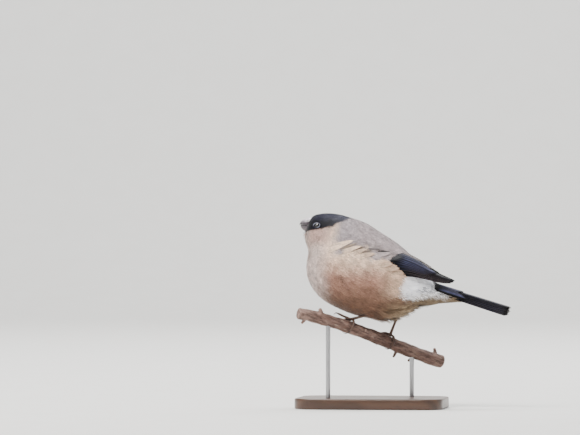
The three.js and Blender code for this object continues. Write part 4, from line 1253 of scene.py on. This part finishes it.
def billHalf(half):
    # arches over a flat edge, along a quarter of an ellipse to the tip
    turn = np.radians(np.concatenate([[0, 0], np.linspace(0, bill["end"], 34)]))[:, None]
    x = bill["baseX"] - half["length"] * np.sin(turn)
    x[0], x[1] = bill["rootX"], (bill["rootX"] + bill["baseX"]) / 2
    swell = np.cos(turn) ** half["droop"]
    edge = bill["gapeZ"] + bill["edgeRise"] * np.sin(np.minimum(turn, bill["edgeEnd"]) * 1.2)
    edge = edge - half["hook"] * smooth(turn, bill["edgeEnd"], math.radians(bill["end"])) - half["gap"]
    crown = bill["gapeZ"] + half["start"] + half["sign"] * half["height"] * swell
    reach = np.maximum(np.abs(crown - edge), 0.3) * half["sign"]
    wide = np.maximum(half["width"] * swell**0.75, 0.28)
    angle = np.linspace(0, math.pi, 25)[None, :]
    ridge = 1 + half["ridge"] * np.exp(-(((angle - math.pi / 2) / 0.25) ** 2))
    y = wide * np.cos(angle) * (1 + 0.05 * np.sin(angle * 2) ** 2)
    arch = vectorsOf(x, y, edge + reach * np.sin(angle) ** 0.92 * ridge)
    inner = np.linspace(1, -1, 9)[1:-1][None, :]
    floor = vectorsOf(x, -wide * inner, edge + 0.25 * half["sign"] * (1 - inner**2))
    return rounds(np.concatenate([arch, floor], 1))


def nostrilShape():
    # a closed tube along a shallow oval round each nostril
    angle = circle(24)
    hoops = []
    for side in (-1, 1):
        centre = nostril["at"] + [0, side * nostril["out"], 0]
        bent = side * nostril["bent"] * np.sin(angle) ** 2
        oval = vectorsOf(nostril["long"] * np.cos(angle), bent, nostril["high"] * np.sin(angle))
        hoops.append(hoopShape(centre + oval, centre, [0, side, 0], nostril["tube"], 10))
    return joined(hoops)


def billMaterial():
    # horn with a pale painted highlight along the top, grey below, darker at the nostril, along the cutting
    # edges and at the tip
    net = Net("billHorn", Coat_Roughness=0.15, Coat_Weight=0.35)
    place = net.object()
    x, _, z = net.parts(place, 1000)
    streak = net.noise(net.vectorMaths("MULTIPLY", place, (0.4, 1, 1)), 900, 4, 0.65)
    spots = net.noise(place, 2600, 2, 0.5)
    # painted highlight: the top of the bill paler where the top light falls
    top = net.step(z + (streak - 0.5) * 1.5, 122.0, 125.6)
    atNostril = net.farness((x + 41.6, 0.5), (z - 123.2, 1))
    tones = net.over(
        tone(78, 69, 76),
        (top, tone(206, 198, 206)),
        (net.step(atNostril + streak, 2.2, 1.0) * 0.75, tone(52, 46, 52)),
        (net.step(x, -44.4, -48.4) * (1 - top) * 0.6, tone(44, 38, 40)),
        (net.step(z, 119.6, 116.5) * 0.6, tone(104, 92, 92)),
        (net.step(abs(z - (120.9 - (x + 43) * 0.1)), 0.7, 0.1) * 0.6, tone(34, 28, 30)),
    )
    net.set(Normal=net.bump(streak, 0.0002, 0.5, net.bump(spots, 0.00006, 0.4)))
    return net.set(Base_Color=net.bright(tones, 0.8 + streak * 0.4), Roughness=0.22 + streak * 0.25)


billTone = billMaterial()
# dark balls in the nostrils stand in for the shade inside them: painted shade
pitTone = grainMaterial("nostrilShade", (1, 1, 1), (2000,), tone(10, 8, 8), tone(26, 20, 20), Roughness=0.9)
addPiece("billUpper", joined([billHalf(bill["upper"]), nostrilShape()]), billTone, ("bill_upper",))
addPiece("billLower", billHalf(bill["lower"]), billTone, ("bill_lower",))
pitPlaces = [nostril["at"] + [0, side * nostril["pitOut"], 0] for side in (-1, 1)]
pits = [ballShape(place, nostril["pit"], 12, 18) for place in pitPlaces]
addPiece("nostrils", joined(pits), pitTone)

eye = {
    "radius": 2.6,
    "sunk": 1.85,
    "lidRadius": 1.84,
    "long": 1.2,
    "high": 0.86,
    "rolls": ((0.12, 1.0, 0.16), (-0.05, 1.16, 0.26), (-0.3, 1.34, 0.34)),  # lift, scale and thickness
}
eyeCentre = eyeSpot - eyeOut * eye["sunk"]


def eyeMaterial(centre, out, name):
    # rings by the distance from the axis: black pupil, dark brown iris with rays, darker rim
    net = Net(name, Roughness=0.05, IOR=1.376, Coat_Weight=1.0, Coat_Roughness=0.02)
    away = net.vectorMaths("SUBTRACT", net.object(), tuple(centre * metre))
    depth = net.vectorMaths("DOT_PRODUCT", away, tuple(out), "Value")
    radius = net.vectorMaths("LENGTH", away, output="Value")
    spread = net.maths("SQRT", net.most(radius * radius - depth * depth)) * 1000
    rays = net.noise(net.vectorMaths("NORMALIZE", away), 9, 4, 0.7)
    iris = net.mix(rays, tone(10, 6, 6), tone(24, 15, 12))
    rim = net.step(spread, 1.85, 2.1), tone(14, 11, 12)
    return net.set(Base_Color=net.over(tone(4, 3, 4), (net.step(spread, 1.05, 1.2), iris), rim))


def lidShape():
    # three rolls of skin round the eye, wider along its corners, each a closed tube along a wavy oval
    side = unit(np.cross([0, 0, 1.0], eyeOut))
    up = np.cross(eyeOut, side)
    angle = circle(120)
    wave = eye["lidRadius"] * (1 + 0.008 * np.sin(angle * 30))
    along, above = np.cos(angle) * eye["long"] * wave, np.sin(angle) * eye["high"] * wave
    oval = side * along[:, None] + up * above[:, None]
    rolls = []
    for lift, scale, tube in eye["rolls"]:
        centre = eyeSpot + eyeOut * lift
        rolls.append(hoopShape(centre + oval * scale, centre, eyeOut, tube, 14))
    return joined(rolls)


def lidMaterial():
    # dark skin with a pale grey ring along the eye that is strongest above and behind
    net = Net("lidSkin", Roughness=0.8, Specular_IOR_Level=0.08)
    grain = net.noise(net.object(), 4200, 3, 0.6)
    x, _, z = net.parts(net.object(), 1000)
    dx, dz = (x - eyeSpot[0]) / eye["long"], (z - eyeSpot[2]) / eye["high"]
    front = net.step(dz * 0.75 - dx * 0.66 + (grain - 0.5), 0.7, 1.7)
    rear = net.step(dx - dz * 0.3, 0.2, 1.5) * 0.6
    pale = net.step(net.farness((dx, 1), (dz, 1)), 2.12, 1.95) * (0.06 + 0.94 * net.most(front, rear))
    tones = net.mix(grain, tone(14, 13, 18), tone(40, 39, 50))
    tones = net.mix(pale, tones, net.mix(grain, tone(96, 100, 114), tone(168, 172, 186)))
    return net.set(Base_Color=tones, Normal=net.bump(grain, 0.0001, 0.6))


ballForm = ballShape(eyeCentre, eye["radius"], 40, 56, eyeOut)
for side, form, flip in (("left", ballForm, [1, 1, 1]), ("right", mirrored(ballForm), [1, -1, 1])):
    name = "eye" + side.capitalize()
    glass = eyeMaterial(eyeCentre * flip, eyeOut * flip, name + "Glass")
    addPiece(name, form, glass, ("eye_" + side,))
addPiece("lids", joined([lidShape(), mirrored(lidShape())]), lidMaterial())
print("head")


# Perch

perch = {
    "middle": np.array([-2.1, -0.75]),
    "yaw": math.radians(30),
    "from": -50.0,
    "to": 53.0,
    "heightFrom": -52.0,
    "heightTo": 56.0,
    "heights": [63, 56.8, 47.8, 37.6, 29.5],
    "radius": 3.9,
    # along the branch, angle round it, length and radius
    "knobs": [
        (-36, -24, 1.5, 1.6), (-4, -75, 1.3, 1.2), (20.5, -165, 3.6, 1.0),
        (33, 150, 2.6, 1.1), (47, 12, 2.4, 1.3), (-45, 165, 1.9, 1.1),
    ],
    # size, per mm along and per turn round of the two waves in its thickness, and its growth along
    "waves": ((0.16, 0.31, 2), (0.1, 0.83, -1)),
    "growth": 0.004,
    "knobShares": np.array([-0.6, 0, 0.35, 0.7, 1.0]),
    "knobRadii": np.array([1.45, 1.15, 0.95, 0.85, 0.6]),
    "bud": 0.78,
}
perchLine = np.array([math.cos(perch["yaw"]), math.sin(perch["yaw"])])


def perchCentre(l):
    # the middle line: straight seen from above, its height a curve through the given heights
    share = (np.asarray(l, float) - perch["heightFrom"]) / (perch["heightTo"] - perch["heightFrom"])
    height = curve(np.array(perch["heights"], float)[:, None], share)
    return np.concatenate([perch["middle"] + np.asarray(l)[..., None] * perchLine, height], -1)


def onPerch(l, degrees, height):
    # a place over the bark: along the branch, round it (0 on top, 90 on the far side), above it
    l, degrees, height = (np.asarray(q, float) for q in np.broadcast_arrays(l, degrees, height))
    line = unit(perchCentre(l + 0.5) - perchCentre(l - 0.5))
    over = np.array([-perchLine[1], perchLine[0], 0])
    a = np.radians(degrees)
    waves = sum(size * np.sin(l * along + a * around) for size, along, around in perch["waves"])
    radius = perch["radius"] + waves + perch["growth"] * (l - perch["from"])
    out = np.cross(line, over) * np.cos(a)[..., None] + over * np.sin(a)[..., None]
    return perchCentre(l) + out * (radius + height)[..., None]


def perchShape():
    # rings of bark with long shallow furrows, rounded off at both cut ends
    l = np.linspace(perch["from"], perch["to"], 220)[:, None]
    degrees = np.linspace(0, 360, 72, endpoint=False)[None, :]
    a = np.radians(degrees)
    furrow = -0.10 * np.abs(np.sin(3.5 * a + 0.9 * np.sin(l * 0.21) + l * 0.05)) ** 6
    warts = 0.05 * np.sin(l * 1.7 + 3 * a) * np.sin(l * 0.9 - 5 * a)
    roundOff = -0.5 * smooth(np.minimum(l - perch["from"], perch["to"] - l), 0.8, 0) ** 2
    return rounds(onPerch(l, degrees, furrow + warts + roundOff))


def knobShapes():
    # each knob is a tapering stub that leans to the thick end, with a ball on it
    shapes = []
    for at, angle, length, radius in perch["knobs"]:
        share = perch["knobShares"]
        path = onPerch(at - 0.6 * np.maximum(share, 0), angle, length * share)
        bud = onPerch(at - 0.75, angle, length * 0.98)
        shapes.append(rounds(tubeRings(path, perch["knobRadii"] * radius, 16, 22)))
        shapes.append(ballShape(bud, perch["bud"] * radius, 12, 16))
    return shapes


def barkMaterial():
    # fibres stretched along the branch, dark in their cracks and pale on their ridges, with pale dots
    net = Net("bark")
    place = net.object()
    x, y, z = net.parts(place)
    along = x * perchLine[0] + y * perchLine[1]
    drawn = net.vector(along * 0.25, y * perchLine[0] - x * perchLine[1], z + along * 0.33)
    fibre = net.noise(drawn, 700, 6, 0.7)
    patches = net.noise(drawn, 220, 4, 0.6)
    fine = net.noise(place, 2400, 3, 0.6)
    cracks = net.step(fibre, 0.52, 0.40)
    dots = net.node("ShaderNodeTexVoronoi", {"feature": "F1"}, {"Vector": drawn, "Scale": 380.0}, "Distance")
    tones = net.over(
        tone(106, 78, 68),
        (net.step(patches, 0.3, 0.7), tone(158, 129, 117)),
        (net.step(fibre, 0.56, 0.78) * 0.7, tone(184, 160, 150)),
        (cracks * 0.6, tone(48, 34, 30)),
        (net.step(dots, 0.16, 0.08) * 0.6, tone(186, 164, 146)),
    )
    bump = net.bump(fibre * 0.8 + fine * 0.3 - cracks * 0.5, 0.0006, 0.8)
    return net.set(Base_Color=net.bright(tones, 0.8 + fine * 0.4), Roughness=0.6 + fibre * 0.35, Normal=bump)


addPiece("branch", joined([perchShape()] + knobShapes()), barkMaterial(), ("perch",))
print("perch")


# Legs

legs = {
    "ankle": 1.35,
    "toeRoot": [0, 0, 1.3],
    "tarsusRadii": [0.9775, 0.828, 0.882, 1.15],
    "toeRadii": [0.735, 0.7, 0.672, 0.602],
    "clawRadii": [0.483, 0.399, 0.252, 0.05],
    "knuckles": ((0.36, 0.14), (0.70, 0.12)),
    "palm": np.array([1.15, 1.15, 1.05]),
    # from the ankle, along the branch, round it and above it; a claw's places by rows of these
    "left": {
        "at": -14.0,
        "heel": [3.4, -11.5, 62.9],
        "toes": {
            "outer": [[-3, 1, 1.5], [-6.5, 3, 1.8], [-9.4, 5, 2.6]],
            "middle": [[-2.6, 32, 1.2], [-5.4, 66, 1.05], [-7.4, 100, 1.05]],
            "inner": [[-0.4, 42, 1.2], [-0.8, 80, 1.05], [-1.2, 106, 1.05]],
            "hind": [[0.5, -40, 1.25], [0.4, -85, 1.05], [-0.3, -120, 1.05]],
        },
        "claws": {
            "outer": [[-9.3, 5, 2.6], [-10.6, 6, 2.75], [-11.6, 6, 2.1], [-12.3, 6, 0.7]],
            "middle": [[-7.3, 98, 1.05], [-8.2, 116, 1.15], [-8.9, 135, 1.1], [-9.2, 152, 0.5]],
            "inner": [[-1.2, 104, 1.05], [-1.6, 122, 1.15], [-2.0, 140, 1.1], [-2.2, 158, 0.5]],
            "hind": [[-0.3, -118, 1.05], [-1.0, -136, 1.2], [-2.0, -156, 1.1], [-3.1, -172, 0.5]],
        },
    },
    "right": {
        "at": 13.6,
        "heel": [17.2, 9.8, 64.2],
        "toes": {
            "inner": [[-2.6, 14, 1.3], [-5.2, 40, 1.1], [-7, 66, 1.05]],
            "middle": [[-1.4, 36, 1.2], [-3.0, 72, 1.05], [-4.2, 106, 1.05]],
            "outer": [[1.4, 36, 1.2], [2.4, 74, 1.05], [2.8, 106, 1.05]],
            "hind": [[1.2, -40, 1.25], [1.8, -85, 1.05], [1.6, -120, 1.05]],
        },
        "claws": {
            "inner": [[-6.9, 64, 1.05], [-7.9, 84, 1.15], [-8.7, 102, 1.1], [-9.1, 118, 0.5]],
            "middle": [[-4.2, 104, 1.05], [-4.8, 124, 1.15], [-5.3, 143, 1.1], [-5.5, 160, 0.5]],
            "outer": [[2.8, 104, 1.05], [3.0, 124, 1.15], [3.0, 143, 1.1], [2.8, 160, 0.5]],
            "hind": [[1.6, -118, 1.05], [1.2, -136, 1.2], [0.2, -156, 1.1], [-0.9, -172, 0.5]],
        },
    },
}


def legMaterial():
    # brown skin with a darker seam where one scute ends and the next starts
    net = Net("legSkin")
    scute = net.maths("FRACT", net.parts(net.kept("legPlace"))[0])
    seam = net.step(scute, 0.0, 0.16) * net.step(scute, 1.0, 0.84)
    grain = net.noise(net.object(), 2600, 4, 0.6)
    tones = net.mix(grain, tone(68, 48, 40), tone(106, 80, 66))
    tones = net.mix((1 - seam) * 0.5, tones, tone(62, 44, 40))
    bump = net.bump(seam * 0.6 + grain * 0.2, 0.00022, 0.9)
    return net.set(Base_Color=tones, Roughness=0.38 + grain * 0.25, Normal=bump)


def onFoot(foot, rows):
    # rows of places along, round and above the branch, counted from the foot's ankle
    l, degrees, height = np.array(rows, float).T
    return onPerch(foot["at"] + l, degrees, height)


def scaledTube(path, radii, scutes, steps, knuckles=()):
    # a tube that steps at each scute by 1 + 0.05 root of |sin| and swells at its knuckles; keeps the count
    around = 16
    t = np.linspace(0, 1, steps)
    rings = tubeRings(path, radii, around, steps)
    centre = rings.mean(1, keepdims=True)
    swell = 1 + 0.05 * np.abs(np.sin(math.pi * scutes * t)) ** 0.5
    for at, amount in knuckles:
        swell = swell + amount * np.exp(-(((t - at) / 0.07) ** 2))
    count = np.concatenate([np.repeat(t, around), [0, 1]]) * scutes
    return rounds(centre + (rings - centre) * swell[:, None, None]), {"legPlace": vectorsOf(count, 0.0, 0.0)}


def footSet(foot):
    # four toes from the ankle and a ball in their middle
    ankle = legs["toeRoot"]
    paths = [onFoot(foot, [ankle] + rows) for rows in foot["toes"].values()]
    sets = [scaledTube(path, legs["toeRadii"], 9, 60, legs["knuckles"]) for path in paths]
    palm, faces = ballShape(onPerch(foot["at"], 0, legs["ankle"]), legs["palm"], 18, 24)
    return joinedSets(sets + [((palm, faces), {"legPlace": np.tile([0.5, 0, 0], (len(palm), 1))})])


def tarsusSet(foot):
    # a straight tube from just above the ankle to just past the heel
    ankle, heel = onPerch(foot["at"], 0, legs["ankle"]), np.array(foot["heel"], float)
    line = unit(heel - ankle)
    path = between(ankle + line * 0.7, heel + line * 0.4, np.array([0.0, 0.33, 0.66, 1.0])[:, None])
    return scaledTube(path, legs["tarsusRadii"], 11, 80)


legTone = legMaterial()
clawTone = grainMaterial(
    "clawHorn", (1, 1, 0.3), (2200, 3), tone(36, 26, 24), tone(84, 66, 58),
    bump=0.4, Roughness=0.3, Coat_Weight=0.3, Coat_Roughness=0.2,
)
for side in ("left", "right"):
    foot, title = legs[side], side.capitalize()
    for part, makeSet in (("foot", footSet), ("tarsus", tarsusSet)):
        shape, values = makeSet(foot)
        addPiece(part + title, shape, legTone, (f"{part}_{side}",), values)
    for name, rows in foot["claws"].items():
        shape = rounds(tubeRings(onFoot(foot, rows), legs["clawRadii"], 14, 26))
        addPiece("claw" + title + name.capitalize(), shape, clawTone, (f"claw_{side}_{name}",))
print("legs")


# Stand

stand = {
    "length": 98.0,
    "width": 64.0,
    "height": 7.0,
    "corner": 14.0,
    "bevel": 1.0,
    "insets": (2.0, 10, 20),
    "rod": 1.5,
    "rods": {"front": -29.0, "rear": 31.0},
}


def baseShape():
    # a rounded rectangle carried round its bevels: each ring is the outline drawn in by an inset at a height
    turn = circle(160)
    bevel, height = stand["bevel"], stand["height"]
    low = [(bevel * (1 - math.sin(b)), bevel * (1 - math.cos(b))) for b in np.linspace(0, math.pi / 2, 9)]
    high = [(inset, height - rise) for inset, rise in low[::-1]]
    floors, tops = [(q, 0.0) for q in stand["insets"][::-1]], [(q, height) for q in stand["insets"]]
    rings = []
    for inset, z in floors + low + high + tops:
        corner = max(stand["corner"] - inset, 3.0)
        x = np.sign(np.cos(turn)) * (stand["length"] / 2 - inset - corner) + corner * np.cos(turn)
        y = np.sign(np.sin(turn)) * (stand["width"] / 2 - inset - corner) + corner * np.sin(turn)
        rings.append(vectorsOf(x, y, z))
    return rounds(np.array(rings))


def rodShape(at):
    # a straight round rod from inside the base up into the branch over it
    (x, y, top), angle = perchCentre(at), circle(40)
    low, high = stand["height"] - 0.5, top - perch["radius"] + 1.0
    z = np.array([low, low + 0.2, high - 0.2, high])[:, None]
    return rounds(vectorsOf(x + np.cos(angle) * stand["rod"], y + np.sin(angle) * stand["rod"], z))


def woodMaterial():
    # year rings as a sine across the plate, bent by noise, with dark pores drawn out along it
    net = Net("standWood", Coat_Weight=0.3, Coat_Roughness=0.2)
    place = net.object()
    x, y, z = net.parts(place)
    rings = net.maths("SINE", y * 900 + z * 500 + net.noise(place, 22, 2, 0.5) * 16 + x * 30)
    pores = net.noise(net.vectorMaths("MULTIPLY", place, (0.06, 1, 1)), 2600, 3, 0.7)
    tones = net.mix(rings * 0.3 + 0.5, tone(62, 41, 30), tone(86, 58, 41))
    tones = net.mix(net.step(pores, 0.60, 0.72) * 0.7, tones, tone(34, 22, 17))
    return net.set(Base_Color=tones, Roughness=0.28 + pores * 0.2, Normal=net.bump(pores, 0.0001, 0.4))


addPiece("standPlate", baseShape(), woodMaterial(), ("stand_base",))
steelTone = grainMaterial(
    "standSteel", (1, 1, 0.03), (5200, 2, 0.6), tone(168, 168, 170), tone(206, 206, 208),
    gloss=(0.24, 0.2), Metallic=1.0,
)
for name, at in stand["rods"].items():
    addPiece("standRod" + name.capitalize(), rodShape(at), steelTone, ("stand_rod_" + name,))
print("stand")


# Stage, light and camera

view = {"azimuth": math.radians(8), "distance": 3.0, "across": 0.3828, "middleX": -54.1, "middleZ": 125.7}
stage = {"front": -3200, "back": 2600, "radius": 900, "wall": 3000, "wide": 4500, "floor": -0.02}


def stageShape():
    # a pale floor that curves up far behind the stand: flat, then a quarter circle, then a wall
    t = np.linspace(0, 1, 60)[:, None]
    arc = np.clip((t - 0.55) / 0.25, 0, 1) * math.pi / 2
    y = between(stage["front"], stage["back"], np.minimum(t / 0.55, 1)) + stage["radius"] * np.sin(arc)
    z = stage["floor"] + stage["radius"] * (1 - np.cos(arc)) + np.maximum(t - 0.8, 0) / 0.2 * stage["wall"]
    x = np.linspace(-stage["wide"], stage["wide"], 12)[None, :]
    c, s = math.cos(view["azimuth"]), math.sin(view["azimuth"])
    return vectorsOf(x * c - y * s, x * s + y * c, z).reshape(-1, 3), gridFaces(60, 12, False)


stageCorners, stageFaces = stageShape()
stageMesh = bpy.data.meshes.new("floor")
stageMesh.from_pydata((stageCorners * metre).tolist(), [], stageFaces.tolist())
stageTones = tone(222, 221, 217), tone(228, 227, 224)
stageMesh.materials.append(grainMaterial("paleFloor", (1, 1, 1), (30, 3), *stageTones, Roughness=0.85))
stageMesh.shade_smooth()
floorObject = addObject("floor", stageMesh)


def facing(thing, place, direction):
    # lamps and cameras look along their own -Z
    thing.location = place
    thing.rotation_euler = direction.to_track_quat("-Z", "Y").to_euler()
    return thing


def addLight(name, place, target, size, power, colour):
    # a round lamp that faces its target
    light = bpy.data.lights.new(name, "AREA")
    light.shape = "DISK"
    light.size = size
    light.energy = power
    light.color = colour
    facing(addObject(name, light), Vector(place), Vector(target) - Vector(place))


middle = (0.0, 0.0, 0.09)
addLight("topLight", (-0.45, -0.8, 1.45), middle, 0.8, 40, (1.0, 0.985, 0.96))
addLight("frontLight", (-1.5, -0.9, 0.9), middle, 0.9, 10, (1.0, 0.99, 0.98))
addLight("backLight", (0.7, 1.2, 1.4), middle, 0.7, 10, (0.95, 0.97, 1.0))
addLight("floorLight", (0.0, 0.9, 2.6), (0.0, 2.8, 0.2), 2.4, 170, (1.0, 1.0, 1.0))
world = bpy.data.worlds.new("studio")
world.use_nodes = True
sky = world.node_tree.nodes["Background"].inputs
sky["Color"].default_value = (0.92, 0.95, 1.0, 1)
sky["Strength"].default_value = 0.2
bpy.context.scene.world = world

azimuth = view["azimuth"]
target = Vector((view["middleX"] * math.cos(azimuth), view["middleX"] * math.sin(azimuth), view["middleZ"]))
toCamera = Vector((math.sin(azimuth), -math.cos(azimuth), 0))
cameraData = bpy.data.cameras.new("camera")
cameraData.sensor_width = 36
cameraData.lens = 36 * view["distance"] / view["across"]
cameraData.clip_end = 30
place = target * metre + toCamera * view["distance"]
bpy.context.scene.camera = facing(addObject("camera", cameraData), place, -toCamera)
